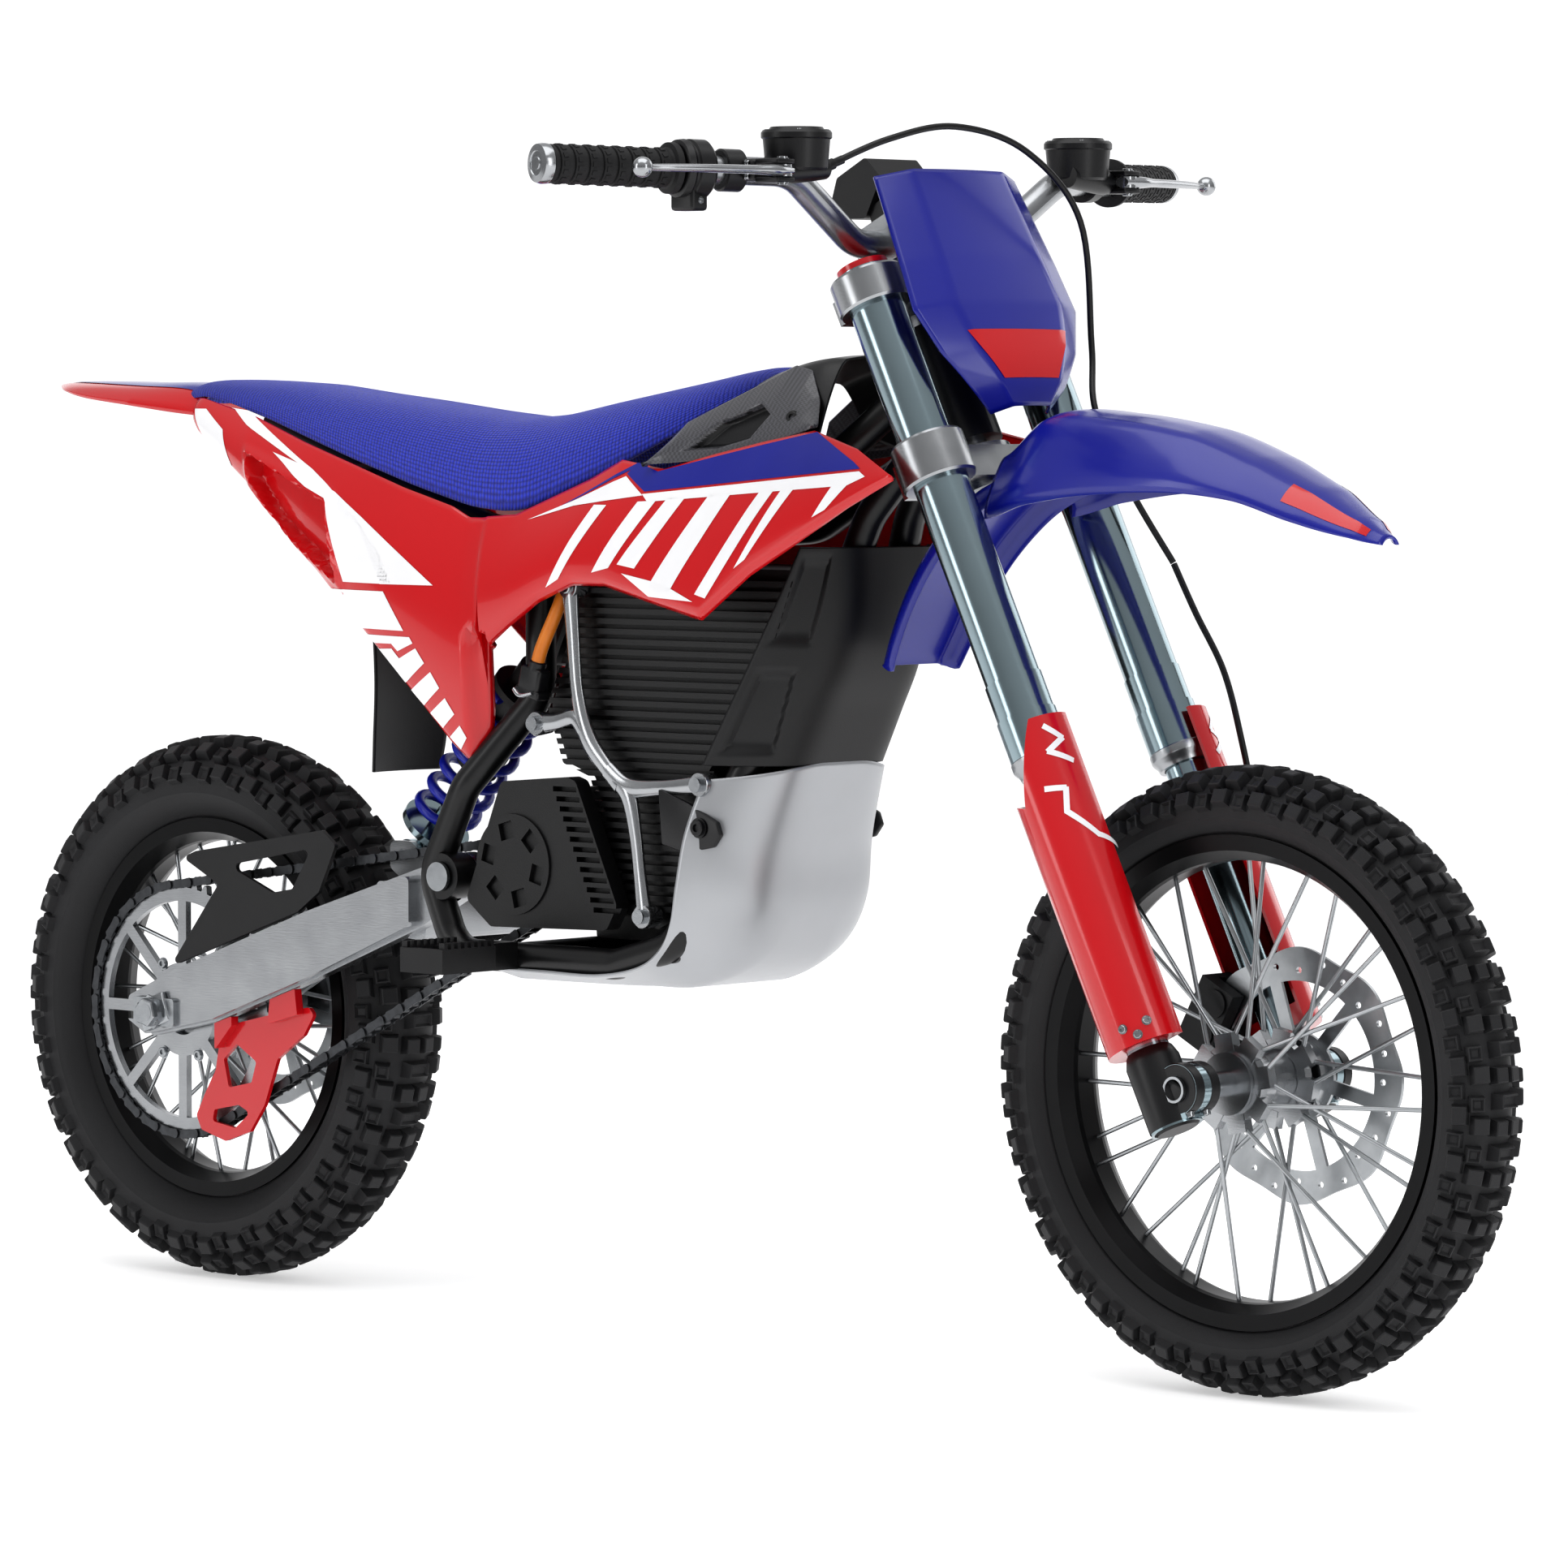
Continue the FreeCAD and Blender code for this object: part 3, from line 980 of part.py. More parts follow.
def make_swingarm():
    px, pz, ax, az = PIVOT_X, PIVOT_Z, REAR_X, REAR_Z
    full = [(px, pz + 18), (px - 54, pz + 2), (px - 176, pz - 36), (ax + 21, az + 38),
            (ax - 38, az + 12), (ax - 40, az - 8), (ax - 15, az - 22), (ax + 66, az - 5),
            (px - 176, pz - 96), (px - 54, pz - 48), (px, pz - 19)]
    outer = [(px - 54, pz - 2), (px - 176, pz - 38), (ax + 21, az + 37), (ax - 36, az + 12),
             (ax - 38, az - 8), (ax - 15, az - 20), (ax + 66, az - 3), (px - 176, pz - 94),
             (px - 54, pz - 44)]
    slot = [(REAR_X - 45, REAR_Z - 8), (REAR_X + 20, REAR_Z - 8), (REAR_X + 20, REAR_Z + 8),
            (REAR_X - 45, REAR_Z + 8)]
    arms = []
    for side in (-1, 1):
        low, high = sorted((side * ARM_INNER_Y, side * ARM_STEP_Y))
        arms.append(plate_y(full, low, high, 5))
        low, high = sorted((side * ARM_STEP_Y, side * ARM_OUTER_Y))
        arms.append(plate_y(outer, low, high, 5))
        low, high = sorted((side * (ARM_INNER_Y - 2), side * ARM_STEP_Y))
        arms.append(rod(point(PIVOT_X, low, PIVOT_Z), point(PIVOT_X, high, PIVOT_Z), 18.5))
    bridge = plate_y([(px - 118, pz - 54), (px - 56, pz - 58), (px - 50, pz - 16),
                      (px - 112, pz - 10)], -ARM_INNER_Y, ARM_INNER_Y, 5)
    lx, lz = SHOCK_LOW_X, SHOCK_LOW_Z
    ears = []
    for side in (-1, 1):
        low, high = sorted((side * 14, side * 20))
        ears.append(plate_y([(px - 118, pz - 20), (px - 62, pz - 18), (lx + 12, lz + 12),
                             (lx - 12, lz + 12), (lx - 12, lz - 11)], low, high, 6))
    body = fuse_all(arms + [bridge] + ears)
    for side in (-1, 1):
        low, high = sorted((side * (ARM_INNER_Y - 8), side * (ARM_OUTER_Y + 8)))
        body = body.cut(plate_y(slot, low, high))
    body = body.cut(rod(point(PIVOT_X, -120, PIVOT_Z), point(PIVOT_X, 120, PIVOT_Z),
                        PIVOT_BOLT_RADIUS + RUNNING_GAP))
    pin = rod(point(SHOCK_LOW_X, -21, SHOCK_LOW_Z), point(SHOCK_LOW_X, 21, SHOCK_LOW_Z),
              SHOCK_PIN_RADIUS)
    arm = body.fuse(pin).removeSplitter()
    save("swingarm", [arm])
    return arm


def make_swingarm_parts(swingarm):
    """Rear axle with its nut and adjusters, the chain's guard and guide, the caliper."""
    x, z = REAR_X, REAR_Z
    axle = rod(point(x, -REAR_AXLE_HALF, z), point(x, REAR_AXLE_HALF, z), REAR_AXLE_RADIUS)
    blocks = [axle]
    for side in (-1, 1):
        low, high = sorted((side * ARM_OUTER_Y, side * (ARM_OUTER_Y + 4)))
        blocks.append(plate_y([(x - 26, z - 12), (x + 24, z - 12), (x + 24, z + 12),
                               (x - 26, z + 12)], low, high, 3))
        low, high = sorted((side * (ARM_OUTER_Y + 4), side * (REAR_AXLE_HALF - 4)))
        blocks.append(rod(point(x, low, z), point(x, high, z), 12))
        low, high = sorted((side * (HUB_HALF_WIDTH + 24), side * ARM_INNER_Y))
        blocks.append(rod(point(x, low, z), point(x, high, z), 13))
    save("rear_axle", [fuse_all(blocks)])
    guard = plate_y([(x + 28, z + 133), (x + 44, z + 139), (x + 198, z + 163),
                     (x + 214, z + 151), (x + 194, z + 111), (x + 168, z + 93),
                     (x + 12, z + 39), (x + 72, z + 112)], -84, -80, 3)
    window = plate_y([(x + 83, z + 129), (x + 185, z + 147), (x + 162, z + 112),
                      (x + 138, z + 108)], -90, -70, 4)
    tab = plate_y([(x + 110, z + 71.5), (x + 160, z + 90), (x + 150, z + 101),
                   (x + 102, z + 84)], -82, -ARM_STEP_Y)
    save("chain_guard", fitted(guard.cut(window).fuse(tab), [swingarm]))
    make_chain_guide(swingarm)
    turn = math.radians(60)
    r = REAR_DISC_RADIUS - 9
    cx, cz = x + r * math.cos(turn), z + r * math.sin(turn)
    body = caliper(cx, cz, REAR_DISC_Y, -60, 50)
    body = body.cut(Part.makeBox(200, 30, 200, point(cx - 100, ARM_INNER_Y - 0.4, cz - 100)))
    arm = plate_y([(x + 14, z - 10), (x + 20, z + 10), (cx + 4, cz + 4), (cx - 12, cz + 10),
                   (x - 2, z + 16), (x - 14, z)], REAR_DISC_Y + 4, ARM_INNER_Y - 1, 2)
    arm = arm.cut(rod(point(x, 0, z), point(x, 90, z), 13))
    save("rear_caliper", [body.fuse(arm).removeSplitter()])


def make_chain_guide(swingarm):
    """Guide plate beside the lower chain run, hung under the arm on two tabs."""
    x, z = REAR_X, REAR_Z
    outline = [(58, -28), (82, -6), (126, 4), (168, 12), (174, 6), (162, -12), (130, -34),
               (114, -74), (96, -98), (66, -108), (36, -100), (30, -88), (40, -70), (54, -48)]
    outline = [(x + dx, z + dz) for dx, dz in outline]
    shape = plate_y(outline, -71, -67, 4)
    for window in ([(64, -38), (80, -24), (104, -38), (98, -56), (70, -62)],
                   [(52, -82), (82, -76), (96, -82), (78, -96), (50, -92)]):
        shape = shape.cut(plate_y([(x + dx, z + dz) for dx, dz in window], -90, -30, 3))
    rear_tab = plate_y([(x + 61, z - 30), (x + 82, z - 8), (x + 82, z), (x + 61, z - 7)],
                       -79, -71, 1)
    front_tab = plate_y([(x + 126, z - 4), (x + 162, z + 6), (x + 159, z + 27.5),
                         (x + 129, z + 17)], -79, -71, 1)
    save("chain_guide", fitted(fuse_all([shape, rear_tab, front_tab]), [swingarm]))


def shock_point(distance):
    """A point down the shock from its upper eye."""
    way = point(SHOCK_LOW_X - SHOCK_TOP_X, 0, SHOCK_LOW_Z - SHOCK_TOP_Z)
    way.normalize()
    return point(SHOCK_TOP_X, 0, SHOCK_TOP_Z) + way * distance


def make_shock():
    length = math.hypot(SHOCK_LOW_X - SHOCK_TOP_X, SHOCK_LOW_Z - SHOCK_TOP_Z)
    top_seat, low_seat = 52.0, length - 36.0
    eye = rod(point(SHOCK_TOP_X, -SHOCK_EYE_HALF, SHOCK_TOP_Z),
              point(SHOCK_TOP_X, SHOCK_EYE_HALF, SHOCK_TOP_Z), SHOCK_EYE_RADIUS)
    neck = rod(shock_point(6), shock_point(26), SHOCK_EYE_HALF)
    tube = rod(shock_point(24), shock_point(134), SHOCK_TUBE_RADIUS)
    seat = rod(shock_point(top_seat - 6), shock_point(top_seat), 30)
    body = fuse_all([eye, neck, tube, seat])
    body = body.cut(rod(shock_point(40), shock_point(124), SHOCK_BORE_RADIUS))
    body = body.cut(rod(shock_point(100), shock_point(140), SHOCK_ROD_RADIUS + RUNNING_GAP))
    body = body.cut(rod(point(SHOCK_TOP_X, -30, SHOCK_TOP_Z), point(SHOCK_TOP_X, 30, SHOCK_TOP_Z),
                        SHOCK_PIN_RADIUS + RUNNING_GAP))
    save("shock_body", [body])
    piston = rod(shock_point(88), shock_point(98), SHOCK_BORE_RADIUS - RUNNING_GAP)
    shaft = rod(shock_point(90), shock_point(length - 8), SHOCK_ROD_RADIUS)
    plate = rod(shock_point(low_seat), shock_point(low_seat + 6), 30)
    low_eye = rod(point(SHOCK_LOW_X, -SHOCK_EYE_HALF, SHOCK_LOW_Z),
                  point(SHOCK_LOW_X, SHOCK_EYE_HALF, SHOCK_LOW_Z), SHOCK_EYE_RADIUS)
    hole = rod(point(SHOCK_LOW_X, -30, SHOCK_LOW_Z), point(SHOCK_LOW_X, 30, SHOCK_LOW_Z),
               SHOCK_PIN_RADIUS + OPEN_EYE_GAP)
    save("shock_shaft", [fuse_all([piston, shaft, plate, low_eye]).cut(hole)])
    room = low_seat - top_seat - 2 * SPRING_WIRE - 1.0
    helix = Part.makeHelix(room / 6.5, room, SPRING_RADIUS)
    circle = Part.Wire(Part.makeCircle(SPRING_WIRE, point(SPRING_RADIUS, 0, 0), point(0, 1, 0)))
    coil = Part.Wire(helix).makePipeShell([circle], True, True)
    way = shock_point(1).sub(shock_point(0))
    turn = FreeCAD.Rotation(point(0, 0, 1), way)
    coil.Placement = FreeCAD.Placement(shock_point(top_seat + SPRING_WIRE + 0.5), turn)
    save("shock_spring", [coil])


# ---- bodywork ----

def panel_sections(rows):
    sections = []
    for x, low, high, y_low, y_mid, y_high in rows:
        middle = low + (high - low) * 0.5
        wall = PANEL_WALL
        sections.append([point(x, -y_low, low), point(x, -y_mid, middle), point(x, -y_high, high),
                         point(x, wall - y_high, high), point(x, wall - y_mid, middle),
                         point(x, wall - y_low, low)])
    return sections


def make_side_panels():
    """One-piece side covers from the tail to the front wings."""
    rear = [(-545, 724, 757, 54, 60, 50), (-466, 682, 741, 74, 80, 63), (-395, 629, 720, 84, 92, 75),
            (-329, 577, 702, 90, 98, 83), (-266, 525, 684, 93, 102, 89), (-205, 471, 669, 93, 105, 93),
            (-184, 456, 660, 92, 106, 94), (-166, 490, 660, 95, 107, 95),
            (-158, 560, 661, 104, 108, 96), (-129, 572, 663, 108, 110, 96),
            (-78, 598, 682, 112, 112, 92), (-30, 607, 701, 115, 114, 88),
            (36, 596, 700, 120, 118, 104), (100, 582, 713, 126, 123, 107),
            (153, 618, 723, 128, 126, 108), (205, 644, 732, 131, 128, 106),
            (262, 673, 718, 134, 131, 120), (309, 694, 698, 136, 136, 135)]
    panel = fitted(skin(panel_sections(rear)), cradle_tubes(SEAM_GAP))[0]
    save("side_panel_right", [panel])
    save("side_panel_left", [mirror_y(panel)])
    trims = [(-2, 708, 722, 90, 84, 78), (36, 702, 734, 100, 88, 70), (64, 709, 746, 102, 86, 62),
             (108, 716, 770, 104, 82, 50), (150, 723, 756, 104, 92, 76), (204, 733, 736, 104, 103, 102)]
    trim = skin(panel_sections(trims))
    cover = skin([[point(102, -42, 778), point(118, -46, 764), point(118, 46, 764), point(102, 42, 778)],
                  [point(150, -42, 790), point(160, -66, 752), point(160, 66, 752), point(150, 42, 790)],
                  [point(176, -34, 800), point(196, -80, 742), point(196, 80, 742), point(176, 34, 800)]])
    gap = rod(on_fork(HEAD_TUBE_FROM - 40, -STEM_SET_BACK), on_fork(HEAD_TUBE_TO + 60, -STEM_SET_BACK),
              HEAD_TUBE_RADIUS + 8)
    hollow = skin([[point(90, -36, 770), point(112, -42, 752), point(112, 42, 752), point(90, 36, 770)],
                   [point(146, -38, 786), point(156, -62, 744), point(156, 62, 744), point(146, 38, 786)],
                   [point(180, -30, 796), point(204, -76, 732), point(204, 76, 732), point(180, 30, 796)]])
    save("trim_panels", both_sides(trim) + [cover.cut(hollow).cut(gap)])


SEAT_ROWS = [(-580, 766, 752, 36), (-569, 771, 756, 44), (-549, 773, 759, 47), (-509, 772, 752, 54),
             (-449, 769, 738, 62), (-391, 762, 722, 71), (-333, 756, 706, 79), (-256, 747, 684, 85),
             (-189, 741, 668, 88), (-150, 743, 664, 89), (-126, 745, 666, 88), (-71, 755, 687, 83),
             (-17, 764, 709, 76), (36, 773, 736, 64), (72, 780, 754, 52), (98, 782, 772, 40)]


def make_seat():
    """Seat cushion on its pan."""
    sections = []
    for x, top, edge, half in SEAT_ROWS:
        sections.append([point(x, -half, edge), point(x, -half * 0.92, edge + (top - edge) * 0.6),
                         point(x, -half * 0.62, top - 3), point(x, 0, top),
                         point(x, half * 0.62, top - 3),
                         point(x, half * 0.92, edge + (top - edge) * 0.6), point(x, half, edge)])
    save("seat_cushion", [skin(sections)])
    sections = []
    for x, top, edge, half in SEAT_ROWS[2:13]:
        y = half - 8
        sections.append([point(x, -y, edge - 4), point(x, -y, edge - 0.2), point(x, y, edge - 0.2),
                         point(x, y, edge - 4)])
    pan = skin(sections)
    flap_rows = [(-338, 600, 46), (-352, 520, 44), (-356, 440, 40)]
    flap = skin([[point(x, -half, z), point(x, half, z), point(x + 4, half, z),
                  point(x + 4, -half, z)] for x, z, half in flap_rows])
    top = skin([[point(-338, -46, 600), point(-338, 46, 600), point(-334, 46, 600),
                 point(-334, -46, 600)],
                [point(-372, -48, 676), point(-372, 48, 676), point(-367, 48, 676),
                 point(-367, -48, 676)]])
    save("inner_fender", fitted(pan, rail_tubes(SEAM_GAP))
         + fitted(flap.fuse(top).removeSplitter(), rail_tubes(SEAM_GAP)))


def make_rear_fender():
    rows = [(-556, 748, 44, 741), (-581, 750, 48, 742), (-585, 770, 52, 743), (-600, 770, 55, 744),
            (-660, 770, 52, 750), (-715, 771, 44, 757), (-748, 771, 32, 763), (-766, 771, 16, 768)]
    sections = []
    for x, top, half, edge in rows:
        wall = min(3.0, (top - edge) * 0.6)
        sections.append([point(x, -half, edge), point(x, -half * 0.9, top - 1.5),
                         point(x, half * 0.9, top - 1.5), point(x, half, edge),
                         point(x, half - wall, edge), point(x, half * 0.9 - wall, top - 1.5 - wall),
                         point(x, wall - half * 0.9, top - 1.5 - wall), point(x, wall - half, edge)])
    save("rear_fender", [skin(sections)])


# ---- footpegs ----

def footpeg(side):
    """Serrated peg that folds up on its bracket pin."""
    y0, y1 = PEG_PIVOT_Y, PEG_TIP_Y
    x, z = PEG_PIVOT_X, PEG_PIVOT_Z
    rails = []
    for dx in (-24, 18):
        rails.append(Part.makeBox(6, y1 - y0 - 15, 20, point(x + dx, y0 + 15, z - 10)))
    for y in (y0 + 15, y0 + 38, y1 - 6):
        rails.append(Part.makeBox(48, 6, 20, point(x - 24, y, z - 10)))
    for i in range(8):
        for dx in (-24, 18):
            tooth = Part.makeBox(6, 3.5, 5, point(x + dx, y0 + 17 + i * 7.6, z + 10))
            rails.append(tooth)
    rails.append(Part.makeBox(18, 22, 16, point(x - 9, y0 - 4, z - 8)))
    peg = fuse_all(rails)
    peg = peg.cut(rod(point(x - 40, y0, z), point(x + 40, y0, z), 4 + RUNNING_GAP))
    return mirror_y(peg) if side < 0 else peg


def peg_brackets():
    """Clevis brackets on the cradle's bottom tubes, each with its peg pin."""
    x, z, y = PEG_PIVOT_X, PEG_PIVOT_Z, PEG_PIVOT_Y
    brackets = []
    for dx in (-15.3, 9.3):
        brackets.append(Part.makeBox(6, 22, 22, point(x + dx, y - 14, z - 11)))
    brackets.append(Part.makeBox(30.6, 10, 22, point(x - 15.3, y - 19.5, z - 11)))
    body = fuse_all(brackets)
    body = body.fuse(rod(point(x - 15.3, y, z), point(x + 15.3, y, z), 4)).removeSplitter()
    tube = rod(point(x - 60, CRADLE_Y, 303), point(x + 60, CRADLE_Y, 303), FRAME_TUBE_RADIUS)
    body = body.cut(tube)
    return both_sides(body)


def main():
    os.makedirs("parts", exist_ok=True)
    make_front_wheel()
    make_rear_wheel()
    make_fork_lowers()
    make_fork_outers()
    make_yokes()
    make_handlebar()
    make_controls()
    make_front_bodywork()
    make_front_hose()
    make_frame()
    make_frame_bolts()
    make_braces()
    make_battery()
    make_battery_lead()
    make_front_shroud()
    make_skid_plate()
    make_motor()
    make_chain()
    make_swingarm_parts(make_swingarm())
    make_shock()
    make_side_panels()
    make_seat()
    make_rear_fender()
    save("right_footpeg", [footpeg(-1)])
    save("left_footpeg", [footpeg(1)])


main()
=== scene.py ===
import math
import random
import bmesh
import bpy
from mathutils import Matrix, Vector


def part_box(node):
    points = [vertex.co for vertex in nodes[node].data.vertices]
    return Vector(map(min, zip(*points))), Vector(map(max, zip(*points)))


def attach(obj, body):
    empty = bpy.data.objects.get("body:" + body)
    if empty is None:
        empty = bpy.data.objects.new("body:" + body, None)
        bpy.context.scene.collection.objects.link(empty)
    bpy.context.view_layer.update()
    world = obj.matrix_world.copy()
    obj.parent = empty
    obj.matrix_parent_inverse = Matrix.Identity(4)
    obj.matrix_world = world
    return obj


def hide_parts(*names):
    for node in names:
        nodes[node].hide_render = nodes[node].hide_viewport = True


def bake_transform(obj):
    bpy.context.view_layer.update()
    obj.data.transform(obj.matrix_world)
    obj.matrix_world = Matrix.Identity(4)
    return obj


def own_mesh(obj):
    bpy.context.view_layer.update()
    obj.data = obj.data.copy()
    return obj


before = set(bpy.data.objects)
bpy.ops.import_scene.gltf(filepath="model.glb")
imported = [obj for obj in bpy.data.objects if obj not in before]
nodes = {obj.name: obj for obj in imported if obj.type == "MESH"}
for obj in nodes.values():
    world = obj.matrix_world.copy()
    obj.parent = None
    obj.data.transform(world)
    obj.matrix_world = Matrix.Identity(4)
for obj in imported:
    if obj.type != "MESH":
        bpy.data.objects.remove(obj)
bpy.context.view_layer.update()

# --- Camera, floor and lights -----------------------------------------------------------------
# The bike stands on a plain white studio sweep, seen from ahead on its right side with a long
# lens, under one broad overhead softbox and two strip boxes that draw the streaks in the metal.


def colour(code):
    """Linear colour of an sRGB hex value."""
    parts = [int(code[i:i + 2], 16) / 255 for i in (1, 3, 5)]
    linear = [p / 12.92 if p <= 0.04045 else ((p + 0.055) / 1.055) ** 2.4 for p in parts]
    return (*linear, 1.0)


def add(tree, kind, inputs={}, **settings):
    """One node with its settings; an input given a socket is linked, any other value is set."""
    made = tree.nodes.new(kind)
    for name, value in settings.items():
        setattr(made, name, value)
    for name, value in inputs.items():
        if isinstance(value, bpy.types.NodeSocket):
            tree.links.new(value, made.inputs[name])
        else:
            made.inputs[name].default_value = value
    return made


def new_material(name, **sockets):
    """A material's tree, its shader with constant sockets set, and its object coordinates."""
    material = bpy.data.materials.new(name)
    material.use_nodes = True
    tree = material.node_tree
    tree.nodes.clear()
    values = {key.replace("_", " "): value for key, value in sockets.items()}
    shader = add(tree, "ShaderNodeBsdfPrincipled", values)
    add(tree, "ShaderNodeOutputMaterial", {"Surface": shader.outputs["BSDF"]})
    place = add(tree, "ShaderNodeTexCoord").outputs["Object"]
    return material, tree, shader, place


def softbox(name, place, target, width, height, watts):
    """A rectangular studio light aimed at a point."""
    lamp = bpy.data.objects.new(name, bpy.data.lights.new(name, "AREA"))
    lamp.data.shape = "RECTANGLE"
    lamp.data.size = width
    lamp.data.size_y = height
    lamp.data.energy = watts
    lamp.location = place
    lamp.rotation_euler = (Vector(target) - Vector(place)).to_track_quat("-Z", "Y").to_euler()
    bpy.context.scene.collection.objects.link(lamp)


camera = bpy.data.objects.new("camera", bpy.data.cameras.new("camera"))
bpy.context.scene.collection.objects.link(camera)
back = Vector((0.6706, -0.7398, 0.0539)).normalized()
across = Vector((0, 0, 1)).cross(back).normalized()
upward = back.cross(across)
camera.matrix_world = (Matrix.Translation((3.94694, -4.26955, 0.759))
                       @ Matrix((across, upward, back)).transposed().to_4x4())
camera.data.lens = 165.16
camera.data.sensor_width = 36
camera.data.sensor_fit = "HORIZONTAL"
camera.data.clip_end = 60
bpy.context.scene.camera = camera
bpy.context.scene.view_settings.view_transform = "Standard"
bpy.context.scene.view_settings.look = "Medium High Contrast"

softbox("overhead softbox", (0.4, -0.6, 3.4), (0, 0, 0.5), 3.6, 2.6, 42)
softbox("side strip", (-1.6, -3.4, 1.5), (0, 0, 0.6), 0.9, 2.6, 20)
softbox("front strip", (3.6, -0.6, 1.4), (0.3, 0, 0.6), 0.8, 2.4, 16)
softbox("far side strip", (0.6, 3.2, 1.8), (0, 0, 0.6), 1.6, 2.2, 14)

world = bpy.data.worlds.new("studio")
world.use_nodes = True
bpy.context.scene.world = world
tree = world.node_tree
tree.nodes.clear()
# The room is dim, brighter overhead, with one white wall behind the bike.
around = add(tree, "ShaderNodeTexCoord").outputs["Generated"]
height = add(tree, "ShaderNodeSeparateXYZ", {0: around})
glow = add(tree, "ShaderNodeMapRange", {0: height.outputs["Z"], 1: -0.1, 2: 0.9, 3: 0.22, 4: 0.6})
facing = add(tree, "ShaderNodeVectorMath", {0: around, 1: tuple(-back)}, operation="DOT_PRODUCT")
wall = add(tree, "ShaderNodeMapRange", {0: facing.outputs["Value"], 1: 0.72, 2: 0.86})
strength = add(tree, "ShaderNodeMix", {0: wall.outputs[0], 2: glow.outputs[0], 3: 1.0})
sky = add(tree, "ShaderNodeBackground", {"Color": colour("#FBFBFC"), "Strength": strength.outputs[0]})
add(tree, "ShaderNodeOutputWorld", {"Surface": sky.outputs[0]})

# Studio paint: matt and near white, a hair uneven so that it isn't one flat value.
sweep_paint, tree, shader, place = new_material("matt white studio paint", Roughness=0.85,
                                                Emission_Color=colour("#FFFFFF"),
                                                Emission_Strength=0.36)
cloud = add(tree, "ShaderNodeTexNoise", {"Vector": place, "Scale": 1.5, "Detail": 2.0})
tint = add(tree, "ShaderNodeMix", {0: cloud.outputs[0], 6: colour("#F4F4F4"),
                                   7: colour("#FCFCFC")}, data_type="RGBA")
tree.links.new(tint.outputs[2], shader.inputs["Base Color"])

sweep = bmesh.new()
bmesh.ops.create_circle(sweep, cap_ends=True, segments=96, radius=9.0)
data = bpy.data.meshes.new("studio_floor")
sweep.to_mesh(data)
sweep.free()
data.materials.append(sweep_paint)
floor = bpy.data.objects.new("studio_floor", data)
bpy.context.scene.collection.objects.link(floor)

# --- Frame, yokes and other coated steel -------------------------------------------------------
# The frame and cradle are welded steel tube, powder coated satin black. The coating gives a soft
# even sheen with a very fine orange-peel texture and no grain.


def dress(material, *names):
    """Gives CAD nodes this finish in place of their plain one."""
    for name in names:
        nodes[name].data.materials.clear()
        nodes[name].data.materials.append(material)


def two_tone(tree, shader, place, low, high, size, sockets=None):
    """Colour that drifts between two tones in clouds of about a size in millimetres."""
    cloud = add(tree, "ShaderNodeTexNoise", {"Vector": place, "Scale": 1000 / size, "Detail": 3.0})
    tint = add(tree, "ShaderNodeMix", {0: cloud.outputs[0], 6: colour(low), 7: colour(high)},
               data_type="RGBA")
    tree.links.new(tint.outputs[2], shader.inputs["Base Color"])
    return cloud


def grain(tree, shader, place, size, height, stretch=(1, 1, 1)):
    """Fine surface texture: grain size and height in millimetres, longer where stretch is less."""
    laid = add(tree, "ShaderNodeMapping", {"Vector": place, "Scale": stretch})
    noise = add(tree, "ShaderNodeTexNoise", {"Vector": laid.outputs[0], "Scale": 1000 / size,
                                             "Detail": 2.0})
    bump = add(tree, "ShaderNodeBump", {"Height": noise.outputs[0], "Distance": height / 1000,
                                        "Strength": 1.0})
    tree.links.new(bump.outputs[0], shader.inputs["Normal"])
    return noise


powder_coat, tree, shader, place = new_material("powder coated steel", Roughness=0.36, IOR=1.5)
two_tone(tree, shader, place, "#070708", "#0E0E10", 60)
grain(tree, shader, place, 2.5, 0.05)
dress(powder_coat, "head_frame", "cradle_frame", "seat_rails")

# Cast aluminium cover: black painted, a little rougher than the tubes, with a sand-cast grain.
cast_black, tree, shader, place = new_material("black painted casting", Roughness=0.42, IOR=1.5)
two_tone(tree, shader, place, "#060607", "#0F0F11", 25)
grain(tree, shader, place, 1.2, 0.12)
dress(cast_black, "battery_case", "motor", "master_cylinders")

# Zinc plated bolts: bright grey metal with turned marks.
plated, tree, shader, place = new_material("zinc plated steel", Metallic=1.0, Roughness=0.24)
two_tone(tree, shader, place, "#8E9194", "#B8BBBE", 8)
grain(tree, shader, place, 0.8, 0.03)
dress(plated, "frame_bolts", "front_axle", "rear_axle")

# Machined aluminium: light satin metal, with a long fine mill grain.
machined, tree, shader, place = new_material("machined aluminium", Metallic=1.0, Roughness=0.27)
two_tone(tree, shader, place, "#96989B", "#B4B6B8", 30)
grain(tree, shader, place, 1.4, 0.03, (0.15, 1, 1))
dress(machined, "battery_braces", "swingarm", "lower_clamp", "upper_clamp", "steering_stem", "handlebar", "front_hub",
      "rear_hub", "rear_sprocket", "drive_sprocket", "front_brake_lever", "rear_brake_lever")

# Laser cut stainless brake disc, ground flat: circular grinding marks.
ground, tree, shader, place = new_material("ground stainless steel", Metallic=1.0, Roughness=0.3)
two_tone(tree, shader, place, "#9B9EA1", "#B9BCBE", 12)
grain(tree, shader, place, 0.9, 0.04)
dress(ground, "front_disc", "rear_disc", "front_spokes", "rear_spokes", "chain")

# Injection moulded nylon: black, dull, with a leathery moulded texture.
nylon, tree, shader, place = new_material("moulded black nylon", Roughness=0.5, IOR=1.5)
two_tone(tree, shader, place, "#08080A", "#131315", 30)
grain(tree, shader, place, 1.0, 0.08)
dress(nylon, "front_shroud", "inner_fender", "chain_guard", "display_pod", "throttle_housing",
      "front_caliper", "rear_caliper", "right_footpeg", "left_footpeg", "shock_body", "trim_panels")

